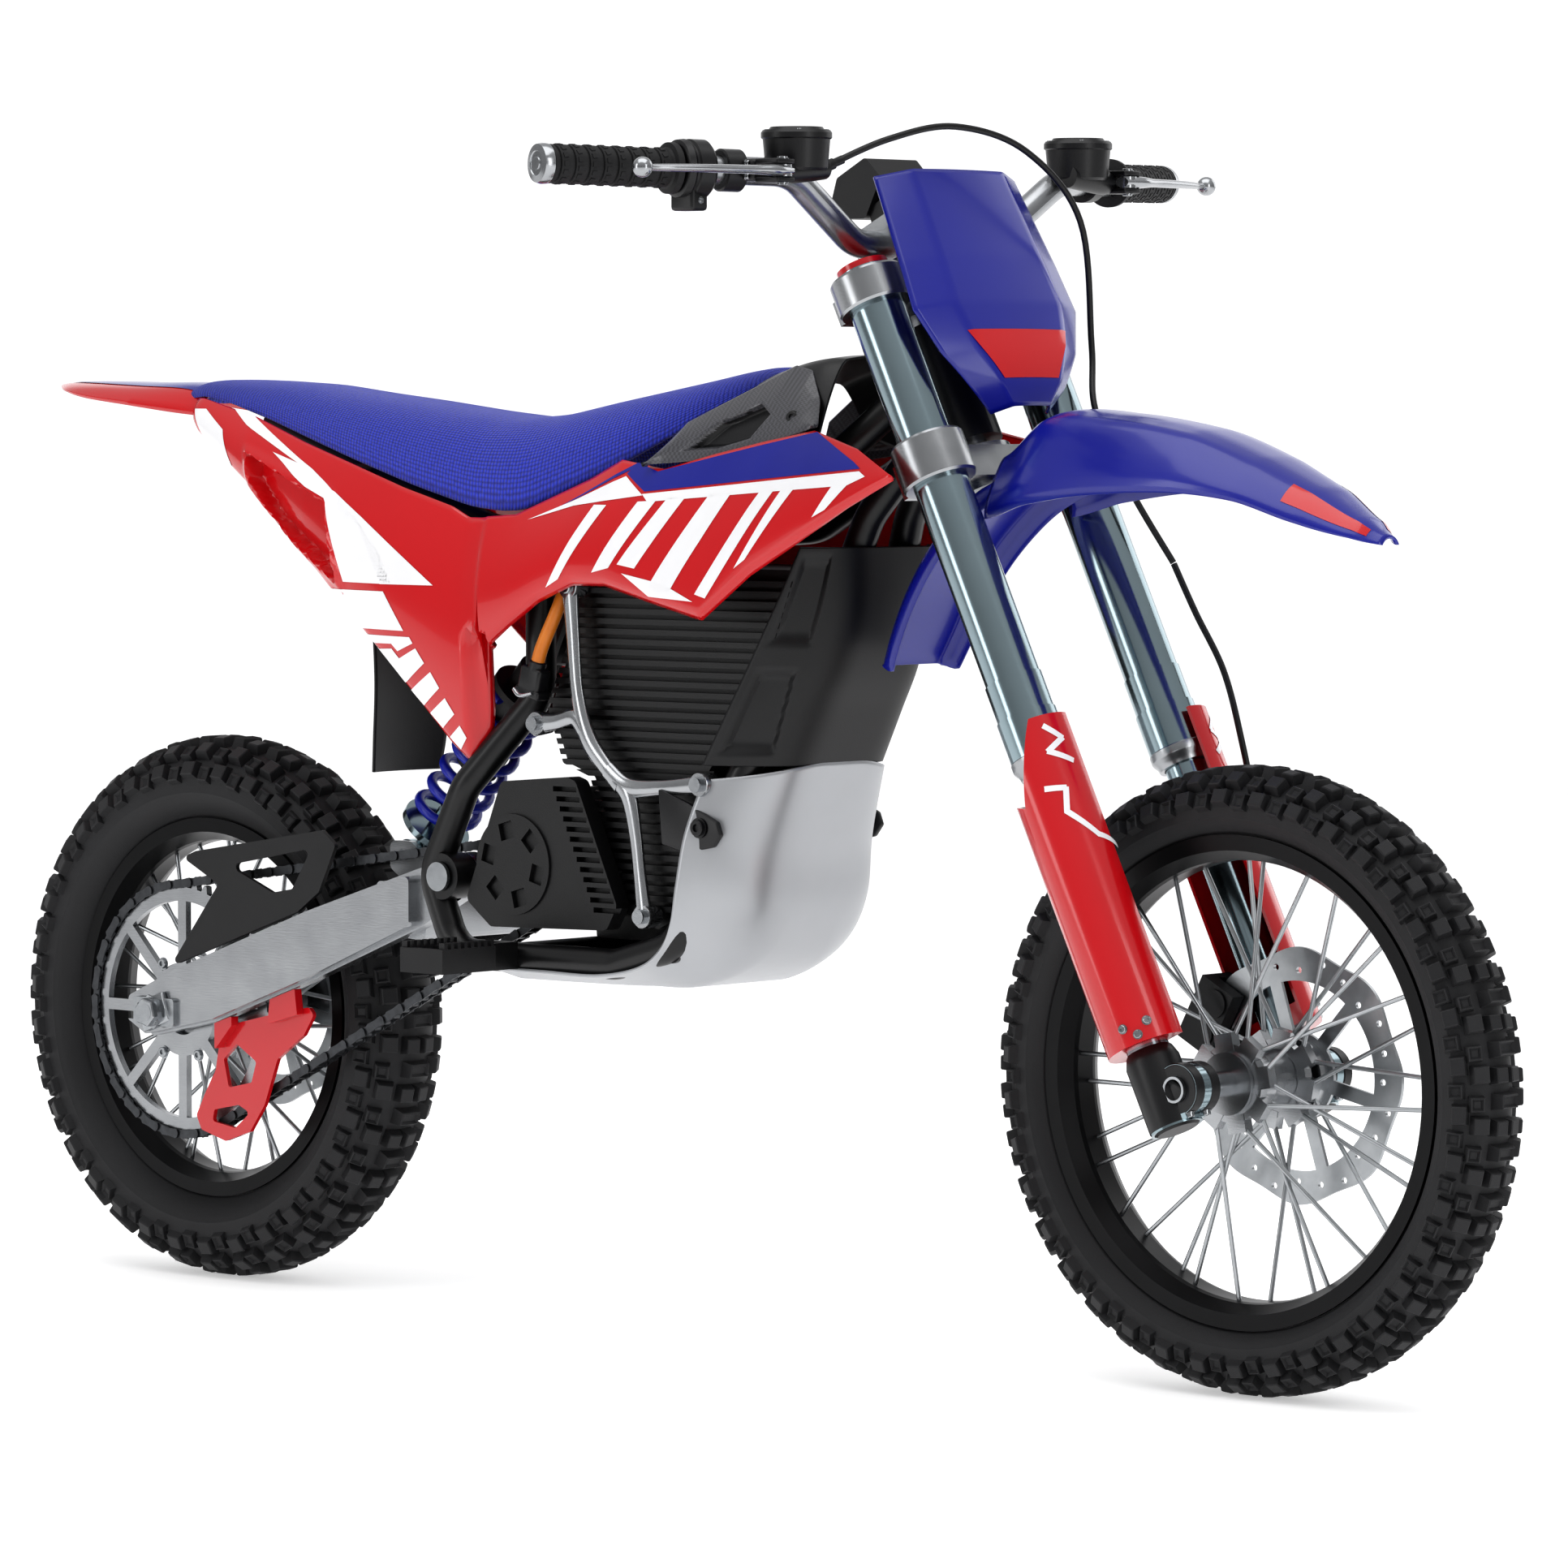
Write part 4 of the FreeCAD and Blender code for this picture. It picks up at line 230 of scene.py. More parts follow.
rim_anodised, tree, shader, place = new_material("black anodised rim", Metallic=0.6, Roughness=0.35)
two_tone(tree, shader, place, "#0B0B0C", "#141416", 40)
grain(tree, shader, place, 1.0, 0.03)
dress(rim_anodised, "front_rim", "rear_rim")

rubber, tree, shader, place = new_material("tyre rubber", Roughness=0.62, IOR=1.5)
two_tone(tree, shader, place, "#121214", "#1F1F22", 20)
grain(tree, shader, place, 0.8, 0.12)
dress(rubber, "front_tyre", "rear_tyre", "left_grip", "throttle_grip", "front_brake_hose",
      "front_lower_hose")

fork_shine, tree, shader, place = new_material("hard anodised fork tube", Metallic=1.0, Roughness=0.16)
two_tone(tree, shader, place, "#8D9DA3", "#9DAEB4", 50)
grain(tree, shader, place, 1.5, 0.01)
dress(fork_shine, "fork_outer_tubes", "fork_inner_tubes", "shock_shaft")

red_gloss, tree, shader, place = new_material("gloss red moulding", Roughness=0.22, IOR=1.5,
                                              Coat_Weight=0.6, Coat_Roughness=0.08)
two_tone(tree, shader, place, "#C20A16", "#CC1420", 80)
grain(tree, shader, place, 4, 0.03)
dress(red_gloss, "fork_caps", "fork_guards", "chain_guide", "rear_fender")

blue_gloss, tree, shader, place = new_material("gloss blue moulding", Roughness=0.28, IOR=1.5,
                                               Coat_Weight=0.4, Coat_Roughness=0.12)
two_tone(tree, shader, place, "#1B2AA4", "#2231B2", 80)
grain(tree, shader, place, 4, 0.03)
dress(blue_gloss, "number_plate", "front_fender", "seat_cushion", "shock_spring")

skid_paint, tree, shader, place = new_material("silver painted aluminium", Metallic=0.75, Roughness=0.38)
two_tone(tree, shader, place, "#B9BBBD", "#CACCCE", 60)
grain(tree, shader, place, 1.5, 0.04)
dress(skid_paint, "skid_plate")

orange_lead, tree, shader, place = new_material("orange cable sleeve", Roughness=0.4, IOR=1.5)
two_tone(tree, shader, place, "#C9701B", "#DB8226", 10)
grain(tree, shader, place, 1.0, 0.05)
dress(orange_lead, "battery_lead")

# --- Tyres ------------------------------------------------------------------------------------
# Off-road tyres: a smooth moulded carcass with rows of separate square-edged rubber blocks, 14 inch
# in front and 12 inch behind. The blocks are moulded with the carcass and some have a round sipe.


def keep(name, mesh, finishes, body=None, stands_for=(), sharp=35):
    """Turns a finished bmesh into a piece at the origin that rides on a body of the bike."""
    data = bpy.data.meshes.new(name)
    mesh.to_mesh(data)
    mesh.free()
    data.shade_smooth()
    data.set_sharp_from_angle(angle=math.radians(sharp))
    for finish in finishes:
        data.materials.append(finish)
    made = bpy.data.objects.new(name, data)
    bpy.context.scene.collection.objects.link(made)
    if body:
        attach(made, body)
    if stands_for:
        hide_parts(*stands_for)
    return made


def stamp(mesh, pattern, matrix):
    """Adds one copy of a small pattern mesh, moved by a matrix."""
    moved = pattern.copy()
    moved.transform(matrix)
    mesh.from_mesh(moved)
    bpy.data.meshes.remove(moved)


def tread_block(long, wide, tall, sipe):
    """One tapered rubber block in millimetres, its foot 3 mm below zero."""
    block = bmesh.new()
    bmesh.ops.create_cube(block, size=1.0)
    for v in block.verts:
        shrink = 0.84 if v.co.z > 0 else 1.06
        v.co = Vector((v.co.x * long * shrink, v.co.y * wide * shrink,
                       tall if v.co.z > 0 else -3.0)) / 1000
    top = [f for f in block.faces if f.normal.z > 0.9]
    if sipe:
        bmesh.ops.inset_individual(block, faces=top, thickness=min(long, wide) * 0.3 / 1000)
        for v in top[0].verts:
            v.co.z -= 0.0022
    rim = [e for e in block.edges if all(v.co.z > tall * 0.0009 for v in e.verts)]
    bmesh.ops.bevel(block, geom=rim, offset=0.0008, segments=1, affect="EDGES", profile=0.5,
                    material=-1)
    pattern = bpy.data.meshes.new("tread block")
    block.to_mesh(pattern)
    block.free()
    return pattern


def knobbly_tyre(node, body, radius, half_width, section, rim, rim_half, repeats, size):
    low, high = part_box(node)
    centre = (low + high) / 2
    middle = radius - section
    rise, reach = section - 8.5, half_width - 4.0
    tyre = bmesh.new()
    profile = [(rim - 3.0, rim_half - 4.0), (rim + 0.8, rim_half - 3.6), (rim + 2.0, rim_half - 1.0)]
    for i in range(41):
        turn = math.radians(112 * (1 - i / 20))
        r = middle + rise * math.cos(turn)
        if r > rim + 3.5:
            # a bead line and two faint moulding ribs stand on each sidewall
            rib = 0.7 if 96 < abs(math.degrees(turn)) < 102 or 78 < abs(math.degrees(turn)) < 81 else 0
            profile.append((r, (reach + rib) * math.sin(turn)))
    profile += [(r, -y) for r, y in reversed(profile[:3])]
    ring = [tyre.verts.new(centre + Vector((0, y, r)) / 1000) for r, y in profile]
    for a, b in zip(ring, ring[1:] + ring[:1]):
        tyre.edges.new((a, b))
    bmesh.ops.spin(tyre, geom=tyre.verts[:] + tyre.edges[:], cent=centre, axis=(0, 1, 0),
                   angle=math.tau, steps=128, use_merge=True)
    bmesh.ops.recalc_face_normals(tyre, faces=tyre.faces[:])
    # row: share of a repeat ahead, degrees off the crown, block length, width, height, sipe
    rows = [(0.00, 11, 13, 13, 8.4, False), (0.50, 0, 12, 22, 8.4, True), (0.46, 38, 14, 14, 8.2, False),
            (0.04, 44, 12, 12, 8.0, True), (0.26, 68, 15, 13, 6.5, False), (0.78, 74, 12, 13, 5.2, True)]
    for ahead, lean, long, wide, tall, sipe in rows:
        pattern = tread_block(long * size, wide * size, tall, sipe)
        for side in ((1,) if lean == 0 else (1, -1)):
            tilt = math.radians(lean) * side
            foot = Vector((0, reach * math.sin(tilt), middle + rise * math.cos(tilt))) / 1000
            seat = Matrix.Translation(foot) @ Matrix.Rotation(-tilt * 0.92, 4, "X")
            for k in range(repeats):
                shift = ahead + (0.5 if side < 0 and lean > 30 else 0)
                turn = Matrix.Rotation(math.tau * (k + shift) / repeats, 4, "Y")
                stamp(tyre, pattern, Matrix.Translation(centre) @ turn @ seat)
    return keep(node + "_tread", tyre, [tread_rubber], body, (node,), 28)


# Vulcanised rubber: near black and dull, greyer where the mould leaves its bloom, finely pitted.
tread_rubber, tree, shader, place = new_material("vulcanised tyre rubber", Roughness=0.6, IOR=1.5,
                                                 Sheen_Weight=0.05)
two_tone(tree, shader, place, "#0E0E10", "#1C1C1F", 45)
grain(tree, shader, place, 1.2, 0.1)
knobbly_tyre("front_tyre", "front_wheel", 240, 36.5, 34, 188, 24.5, 38, 1.0)
knobbly_tyre("rear_tyre", "rear_wheel", 233.5, 44.8, 42, 163, 27, 34, 1.12)

# --- Side panels --------------------------------------------------------------------------------
# Each side cover is one thin polypropylene moulding from the tail to the front wing, gloss red
# through and through, with a scoop in its tail, a rolled lower rim, and printed vinyl graphics.

PANEL = [(-553, 730, 757, 50, 56, 48), (-545, 724, 757, 54, 60, 50), (-466, 682, 741, 74, 80, 63),
         (-395, 629, 720, 84, 92, 75), (-329, 577, 702, 90, 98, 83), (-266, 525, 684, 93, 102, 89),
         (-205, 471, 669, 93, 105, 93), (-184, 456, 660, 92, 106, 94), (-166, 490, 660, 95, 107, 95),
         (-162, 552, 661, 103, 108, 96), (-129, 572, 663, 108, 110, 96), (-92, 593, 677, 111, 111, 93),
         (-52, 607, 692, 114, 113, 90), (-14, 607, 708, 117, 115, 92), (43, 594, 701, 121, 119, 104),
         (100, 582, 713, 126, 123, 107), (153, 618, 723, 128, 126, 108), (205, 644, 732, 131, 128, 106),
         (262, 673, 718, 134, 131, 120), (309, 694, 698, 136, 136, 135)]
SCOOP = [(-462, 713), (-352, 672), (-337, 602), (-426, 652), (-456, 684)]


def at(table, x):
    """The row of a table at x, in straight lines between its rows."""
    for a, b in zip(table, table[1:]):
        if x <= b[0]:
            break
    share = min(1.0, max(0.0, (x - a[0]) / (b[0] - a[0])))
    return [p + (q - p) * share for p, q in zip(a, b)]


def eased(table, t):
    """A smooth curve through the rows of a table, t from 0 at the first to 1 at the last."""
    spot = min(max(t, 0.0), 1.0) * (len(table) - 1)
    i = min(int(spot), len(table) - 2)
    f = spot - i
    a, b, c, d = (table[min(max(k, 0), len(table) - 1)] for k in (i - 1, i, i + 1, i + 2))
    return [q + 0.5 * f * (r - p + f * (2 * p - 5 * q + 4 * r - s + f * (3 * (q - r) + s - p)))
            for p, q, r, s in zip(a, b, c, d)]


def depth_in(outline, x, z):
    """How far a point lies inside a convex outline drawn clockwise, negative outside it."""
    near = 1e9
    for (ax, az), (bx, bz) in zip(outline, outline[1:] + outline[:1]):
        near = min(near, ((bz - az) * (x - ax) - (bx - ax) * (z - az)) / math.hypot(bx - ax, bz - az))
    return near


def clear_of(outline, x, z, margin):
    """Moves a point that is inside an outline, or within the margin of it, just outside."""
    inside = depth_in(outline, x, z) + margin
    if inside <= 0 or inside > 4 + margin:
        return x, z
    slope = 0.01
    gx = (depth_in(outline, x + slope, z) - inside + margin) / slope
    gz = (depth_in(outline, x, z + slope) - inside + margin) / slope
    return x - gx * inside, z - gz * inside


def ramp(value, width):
    share = min(1.0, max(0.0, value / width))
    return share * share * (3 - 2 * share)


def panel_reach(x, z):
    """How far out from the bike's middle the panel's outer face is, in millimetres."""
    _, low, high, y_low, y_mid, y_high = at(PANEL, x)
    share = min(1.0, max(0.0, (z - low) / (high - low)))
    reach = (y_low * (1 - share) * (1 - 2 * share) + 4 * y_mid * share * (1 - share)
             + y_high * share * (2 * share - 1))
    reach -= 17 * ramp(depth_in(SCOOP, x, z), 6)
    reach += 3.5 * ramp(depth_in([(-468, 722), (-343, 684), (-325, 588), (-436, 648), (-466, 680)], x, z), 9)
    roll = max(0.0, 7 - (z - low))
    reach -= 0.09 * roll * roll
    if -190 < x < -155 and z < 566:
        reach -= 9 * ramp(x + 184, 14)
    return reach


def sheet_of(columns, rows, where):
    """A fine grid bent to a surface; where gives its point in millimetres for two shares 0 to 1."""
    mesh = bmesh.new()
    mesh.loops.layers.uv.new("weave")
    bmesh.ops.create_grid(mesh, x_segments=columns, y_segments=rows, size=0.5, calc_uvs=True)
    for v in mesh.verts:
        v.co = Vector(where(v.co.x + 0.5, v.co.y + 0.5)) / 1000
    return mesh


def panel_point(u, v):
    x = PANEL[0][0] + (PANEL[-1][0] - PANEL[0][0]) * u
    _, low, high = at(PANEL, x)[:3]
    z = low + (high - low) * v
    return x, -panel_reach(x, z), z


def mirrored(mesh):
    """Turns a right-hand piece into a left-hand one."""
    bmesh.ops.scale(mesh, vec=(1, -1, 1), verts=mesh.verts[:])
    bmesh.ops.reverse_faces(mesh, faces=mesh.faces[:])
    return mesh


def walled(made, thickness):
    wall = made.modifiers.new("wall", "SOLIDIFY")
    wall.thickness = thickness / 1000
    wall.offset = -1
    return made


def vinyl(name, outlines, finish, side, lift):
    """Cut vinyl on a panel: each convex outline is trimmed from a fine sheet and laid on it."""
    film = bmesh.new()
    for outline in outlines:
        xs, zs = [p[0] for p in outline], [p[1] for p in outline]
        patch = bmesh.new()
        wide, tall = max(xs) - min(xs), max(zs) - min(zs)
        bmesh.ops.create_grid(patch, x_segments=max(2, int(wide / 3)), y_segments=max(2, int(tall / 3)),
                              size=0.5)
        for v in patch.verts:
            v.co = Vector((min(xs) + (v.co.x + 0.5) * wide, 0, min(zs) + (v.co.y + 0.5) * tall))
        turn = sum((b[0] - a[0]) * (b[1] + a[1]) for a, b in zip(outline, outline[1:] + outline[:1]))
        for a, b in zip(outline, outline[1:] + outline[:1]):
            out = Vector((a[1] - b[1], 0, b[0] - a[0])) * (1 if turn > 0 else -1)
            bmesh.ops.bisect_plane(patch, geom=patch.verts[:] + patch.edges[:] + patch.faces[:],
                                   plane_co=(a[0], 0, a[1]), plane_no=out, clear_outer=True)
        sunk = [f for f in patch.faces
                if depth_in(SCOOP, f.calc_center_median().x, f.calc_center_median().z) > 0]
        bmesh.ops.delete(patch, geom=sunk, context="FACES")
        for v in patch.verts:
            x, z = clear_of(SCOOP, v.co.x, v.co.z, 2)
            z = max(z, at(PANEL, x)[1] + 4.5)
            v.co = Vector((x, -panel_reach(x, z) - lift, z)) / 1000
        laid = bpy.data.meshes.new("patch")
        patch.to_mesh(laid)
        patch.free()
        film.from_mesh(laid)
    if side == "left":
        mirrored(film)
    made = keep(name + "_" + side, film, [finish], "chassis")
    return made


panel_red, tree, shader, place = new_material("gloss red polypropylene", Roughness=0.2, IOR=1.5,
                                              Coat_Weight=0.5, Coat_Roughness=0.06)
two_tone(tree, shader, place, "#C4040F", "#CE0C18", 120)
grain(tree, shader, place, 6, 0.02)
# Printed vinyl: a thin glossy film, smoother than the moulding it sits on.
white_vinyl, tree, shader, place = new_material("white printed vinyl", Roughness=0.25, IOR=1.45,
                                                Coat_Weight=0.3, Coat_Roughness=0.1)
two_tone(tree, shader, place, "#F2F2F4", "#FBFBFC", 60)
grain(tree, shader, place, 5, 0.01)
blue_vinyl, tree, shader, place = new_material("blue printed vinyl", Roughness=0.25, IOR=1.45,
                                               Coat_Weight=0.3, Coat_Roughness=0.1)
two_tone(tree, shader, place, "#141C88", "#1A2496", 60)
grain(tree, shader, place, 5, 0.01)
dark_vinyl, tree, shader, place = new_material("dark red printed vinyl", Roughness=0.25, IOR=1.45,
                                               Coat_Weight=0.3, Coat_Roughness=0.1)
two_tone(tree, shader, place, "#8E0610", "#9A0A14", 60)
grain(tree, shader, place, 5, 0.01)

WHITE = [[(-511, 750), (-474, 744), (-376, 698), (-429, 712), (-474, 735)],
         [(-429, 712), (-376, 698), (-308, 659), (-309, 650), (-376, 683)],
         [(-309, 650), (-308, 659), (-217, 604), (-281, 604)],
         [(-351, 674), (-338, 674), (-313, 658), (-281, 629), (-266, 604), (-329, 605)],
         [(-550, 748), (-534, 748), (-486, 722), (-489, 701), (-483, 687), (-487, 684), (-506, 699), (-536, 724)],
         [(-472, 683), (-466, 683), (-428, 648), (-384, 618), (-363, 604), (-382, 605), (-428, 637)],
         [(-360, 599), (-277, 598), (-253, 566), (-319, 567)],
         [(-311, 562), (-246, 561), (-242, 556), (-272, 555), (-303, 555)],
         [(-272, 556), (-242, 556), (-263, 549)],
         [(-295, 550), (-271, 551), (-262, 543), (-259, 522)],
         [(-262, 543), (-239, 552), (-229, 540), (-259, 522)],
         [(-252, 517), (-222, 533), (-212, 520), (-236, 505)],
         [(-229, 499), (-206, 512), (-196, 499), (-214, 487)],
         [(-206, 480), (-191, 490), (-184, 480), (-194, 470)],
         [(-112, 659), (-60, 675), (-57, 671)], [(-60, 675), (-1, 695), (25, 680), (-57, 671)],
         [(24, 681), (273, 701), (281, 697), (262, 690), (32, 675)],
         [(-79, 605), (-64, 612), (-14, 672), (-30, 672)], [(-24, 618), (-4, 622), (42, 676), (21, 675)],
         [(6, 625), (26, 622), (76, 679), (55, 678)], [(40, 606), (66, 604), (130, 683), (104, 682)],
         [(96, 603), (108, 600), (182, 688), (166, 687)], [(140, 624), (152, 631), (206, 690), (191, 689)],
         [(226, 665), (240, 671), (262, 690), (246, 690)], [(11, 618), (42, 600), (94, 597), (60, 610)]]
BLUE = [[(-92, 663), (-59, 676), (-1, 697), (8, 706)], [(-1, 697), (8, 706), (36, 699), (26, 683)],
        [(26, 683), (36, 699), (209, 731), (264, 708), (273, 703)]]
for side in ("right", "left"):
    panel = sheet_of(240, 36, panel_point)
    if side == "left":
        mirrored(panel)
    made = keep("side_panel_" + side + "_moulding", panel, [panel_red], "chassis",
                ("side_panel_" + side,), 40)
    walled(made, 2.6)
    vinyl("tail_and_wing_graphic", WHITE, white_vinyl, side, 0.45)
    vinyl("wing_band", BLUE, blue_vinyl, side, 0.4)

# --- Seat ---------------------------------------------------------------------------------------
# A long foam seat under a stretched blue cover, woven with a raised diamond grip and stapled under
# the pan's edge. It is firm, crowned across and dished along its middle.

SEAT = [(-581, 766, 753, 36), (-569, 771, 757, 44), (-549, 773, 759, 47), (-509, 772, 753, 54),
        (-449, 769, 738, 62), (-391, 762, 722, 71), (-333, 756, 706, 79), (-256, 747, 685, 85),
        (-189, 741, 669, 88), (-150, 743, 665, 89), (-126, 745, 667, 88), (-71, 755, 688, 83),
        (-17, 764, 710, 76), (36, 773, 737, 64), (72, 780, 755, 52), (100, 783, 773, 38)]


def seat_point(u, v):
    x = -581 + 681 * u
    _, top, edge, half = at(SEAT, x)
    _, top2, edge2, half2 = at(SEAT, x + 12)
    _, top3, edge3, half3 = at(SEAT, x - 12)
    top, edge, half = (top * 2 + top2 + top3) / 4, (edge * 2 + edge2 + edge3) / 4, (half * 2 + half2 + half3) / 4
    end = min(x + 581, 100 - x)
    rise = (top - edge) * math.sqrt(max(0.0, 1 - (1 - min(1.0, end / 12)) ** 2))
    turn = math.pi * (1 - v)
    c, s = math.cos(turn), math.sin(turn)
    across = -math.copysign(abs(c) ** 0.62, c)
    return x, across * -half * -1, edge + rise * abs(s) ** 0.72


seat_cover, tree, shader, place = new_material("woven grip vinyl", Roughness=0.62, IOR=1.45,
                                               Sheen_Weight=0.2, Sheen_Roughness=0.5)
two_tone(tree, shader, place, "#1626A0", "#1C2DB0", 70)
# The raised grip pattern repeats every 3.6 mm; it is drawn from the cover's own length and girth.
lay = add(tree, "ShaderNodeMapping", {"Vector": add(tree, "ShaderNodeUVMap", uv_map="weave").outputs[0],
                                      "Scale": (681 / 3.6, 250 / 3.6, 1), "Rotation": (0, 0, 0)})
dots = add(tree, "ShaderNodeTexVoronoi", {"Vector": lay.outputs[0], "Scale": 1.0, "Randomness": 0.15})
level = add(tree, "ShaderNodeMapRange", {0: dots.outputs["Distance"], 1: 0.15, 2: 0.6, 3: 1.0, 4: 0.0})
# The colour follows the grip's height: painted shade in the low gaps between the raised diamonds and a lighter
# painted top on each one; the bump gives the real relief.
painted_height_shading = add(tree, "ShaderNodeMix", {0: level.outputs[0], 6: colour("#101B7E"), 7: colour("#2A3FD0")},
           data_type="RGBA")
tree.links.new(painted_height_shading.outputs[2], shader.inputs["Base Color"])
bump = add(tree, "ShaderNodeBump", {"Height": level.outputs[0], "Distance": 0.0008, "Strength": 1.0})
tree.links.new(bump.outputs[0], shader.inputs["Normal"])

seat = sheet_of(200, 60, seat_point)
bmesh.ops.remove_doubles(seat, verts=[v for v in seat.verts if v.is_boundary], dist=0.00001)
bmesh.ops.recalc_face_normals(seat, faces=seat.faces[:])
cushion = keep("seat_cover_and_foam", seat, [seat_cover], "chassis", ("seat_cushion",), 60)
walled(cushion, 5)

# --- Number plate and mudguards -----------------------------------------------------------------
# Thin blue polypropylene mouldings: the plate in front of the bars, the blade over the front wheel
# with its flap behind the fork, and the tail over the rear wheel, red with a blue top.

LEAN = math.radians(26)
FOOT = Vector((559.75 - 21.5 * math.cos(LEAN), 0, 240 - 21.5 * math.sin(LEAN)))


def by_fork(up, ahead, y):
    """A point in millimetres measured up and ahead of the fork's foot."""
    return FOOT + Vector((-math.sin(LEAN) * up + math.cos(LEAN) * ahead, y,
                          math.cos(LEAN) * up + math.sin(LEAN) * ahead))


PLATE = [(557, 34, 44), (575, 56, 49), (603, 80, 51), (640, 97, 53), (680, 93, 53), (722, 88, 52),
         (756, 84, 51)]


def plate_point(u, v):
    up, half, ahead = at([row for row in PLATE], 557 + 199 * v)
    across = (2 * u - 1)
    fold = max(0.0, abs(across) - 0.64) / 0.36
    bow = 7 - 3 * across * across - 13 * fold
    foot = max(0.0, (600 - up) / 43)
    return by_fork(up, ahead + bow - 5 * foot * foot, half * across)


blue_plastic, tree, shader, place = new_material("gloss blue polypropylene", Roughness=0.26, IOR=1.5,
                                                 Coat_Weight=0.35, Coat_Roughness=0.1)
two_tone(tree, shader, place, "#0F1786", "#151F96", 120)
grain(tree, shader, place, 6, 0.02)

plate = walled(keep("number_plate_moulding", sheet_of(48, 60, plate_point), [blue_plastic],
                    "steering", ("number_plate",), 40), 2.5)
badge = sheet_of(20, 12, lambda u, v: plate_point(0.5 + (u - 0.5) * (0.56 + 0.12 * v), 0.1 + 0.2 * v))
bmesh.ops.translate(badge, vec=(0.0006 * math.cos(LEAN), 0, 0.0006 * math.sin(LEAN)), verts=badge.verts[:])
keep("plate_badge", badge, [panel_red], "steering")

BLADE = [(334, 716, 54, 668), (376, 746, 60, 679), (436, 746, 62, 687), (520, 734, 62, 690),
         (580, 713, 56, 684), (630, 690, 45, 668), (668, 667, 26, 657), (686, 655, 10, 652)]


def blade_point(u, v):
    x = 334 + 352 * u
    _, crest, half, edge = eased(BLADE, share_along(BLADE, x))
    across = 2 * v - 1
    drop = abs(across) ** 3.2
    ridge = 3.0 * math.exp(-((abs(across) - 0.55) / 0.12) ** 2) * min(1, max(0, (600 - x) / 120))
    fall = (crest - edge) * drop
    side = math.copysign(min(1.0, abs(across) * 1.06), across)
    return x, half * side, crest - fall - 4 * across * across + ridge


def share_along(table, x):
    """Where x lies along a table's rows, as a share from 0 to 1."""
    for i, (a, b) in enumerate(zip(table, table[1:])):
        if x <= b[0] or i == len(table) - 2:
            return (i + (x - a[0]) / (b[0] - a[0])) / (len(table) - 1)


FLAP = [(352, 700, 50), (318, 686, 51), (292, 668, 50), (264, 640, 48), (240, 606, 46), (224, 575, 44),
        (214, 554, 40), (212, 548, 34)]


def flap_point(u, v):
    x, z, half = eased(FLAP, u)
    across = 2 * v - 1
    lip = max(0.0, abs(across) - 0.8) / 0.2 * min(1.0, (1 - u) * 6)
    return x + 12 * lip * lip, -half * across, z - 14 * lip * lip


def join(mesh, other):
    laid = bpy.data.meshes.new("joined")
    other.to_mesh(laid)
    other.free()
    mesh.from_mesh(laid)
    return mesh


fender = join(sheet_of(90, 48, blade_point), sheet_of(40, 30, flap_point))
walled(keep("front_fender_moulding", fender, [blue_plastic], "steering",
            ("front_fender",), 40), 2.5)
for side in (-1, 1):
    flash = sheet_of(14, 6, lambda u, v: blade_point(0.80 + 0.17 * u, 0.5 + side * (0.26 + 0.16 * v)))
    if side < 0:
        bmesh.ops.reverse_faces(flash, faces=flash.faces[:])
    bmesh.ops.translate(flash, vec=(0, 0, 0.0006), verts=flash.verts[:])
    keep("fender_flash_" + ("right" if side < 0 else "left"), flash, [panel_red], "steering")

TAIL = [(-553, 766, 50, 742), (-585, 770, 53, 745), (-640, 770, 53, 751), (-700, 771, 46, 757),
        (-740, 771, 33, 763), (-766, 770, 14, 767)]


def tail_point(u, v):
    x, top, half, edge = eased(TAIL, u)
    across = 2 * v - 1
    return x, -half * math.copysign(min(1, abs(across) * 1.05), across), top - (top - edge) * abs(across) ** 4


walled(keep("rear_fender_moulding", sheet_of(60, 40, tail_point), [panel_red], "chassis",
            ("rear_fender",), 40), 2.5)
strip = sheet_of(50, 20, lambda u, v: tail_point(u * 0.86, 0.5 + (v - 0.5) * (0.72 - 0.2 * u)))
bmesh.ops.translate(strip, vec=(0, 0, 0.0006), verts=strip.verts[:])
keep("tail_strip", strip, [blue_vinyl], "chassis")

# --- Skid plate and nose shroud -----------------------------------------------------------------
# The skid plate is pressed aluminium painted satin silver, with a narrow spine up the front. Above
# it a black nylon shroud wraps the down tubes, with a pocket moulded in each side.

BELLY = [(-146, 293, -146, 284, 74, 104), (-90, 293, -96, 284, 72, 106), (-30, 293, -48, 284, 68, 107),
         (15, 301, -14, 284, 58, 107), (40, 316, 34, 286, 50, 108), (52, 340, 82, 306, 38, 108),
         (58, 372, 108, 342, 30, 108), (64, 412, 118, 396, 25, 104), (74, 455, 140, 468, 23, 93)]


def belly_point(u, v):
    ex, ez, sx, sz, narrow, wide = eased(BELLY, v)
    across = 2 * u - 1
    size = abs(across)
    if size < 0.2:
        return sx, narrow * across / 0.2, sz
    share = (size - 0.2) / 0.8
    full = ramp(v - 0.3, 0.3)
    x, z = sx + (ex - sx) * share ** (1 + 1.2 * full), sz + (ez - sz) * share
    y = narrow + (wide - narrow) * share ** (1 - 0.3 * full)
    return x, math.copysign(y, across), z


silver_paint, tree, shader, place = new_material("satin silver painted aluminium", Metallic=0.55,
                                                 Roughness=0.36)
two_tone(tree, shader, place, "#A9ABAE", "#B9BBBE", 90)
grain(tree, shader, place, 1.5, 0.03)
walled(keep("skid_plate_pressing", sheet_of(100, 90, belly_point), [silver_paint], "chassis",
            ("skid_plate",), 30), 2.5)

NOSE = [(466, 139, 72, 23, 92), (508, 160, 96, 23, 90), (546, 180, 116, 23, 86), (592, 192, 140, 23, 82),
        (640, 196, 164, 24, 78)]


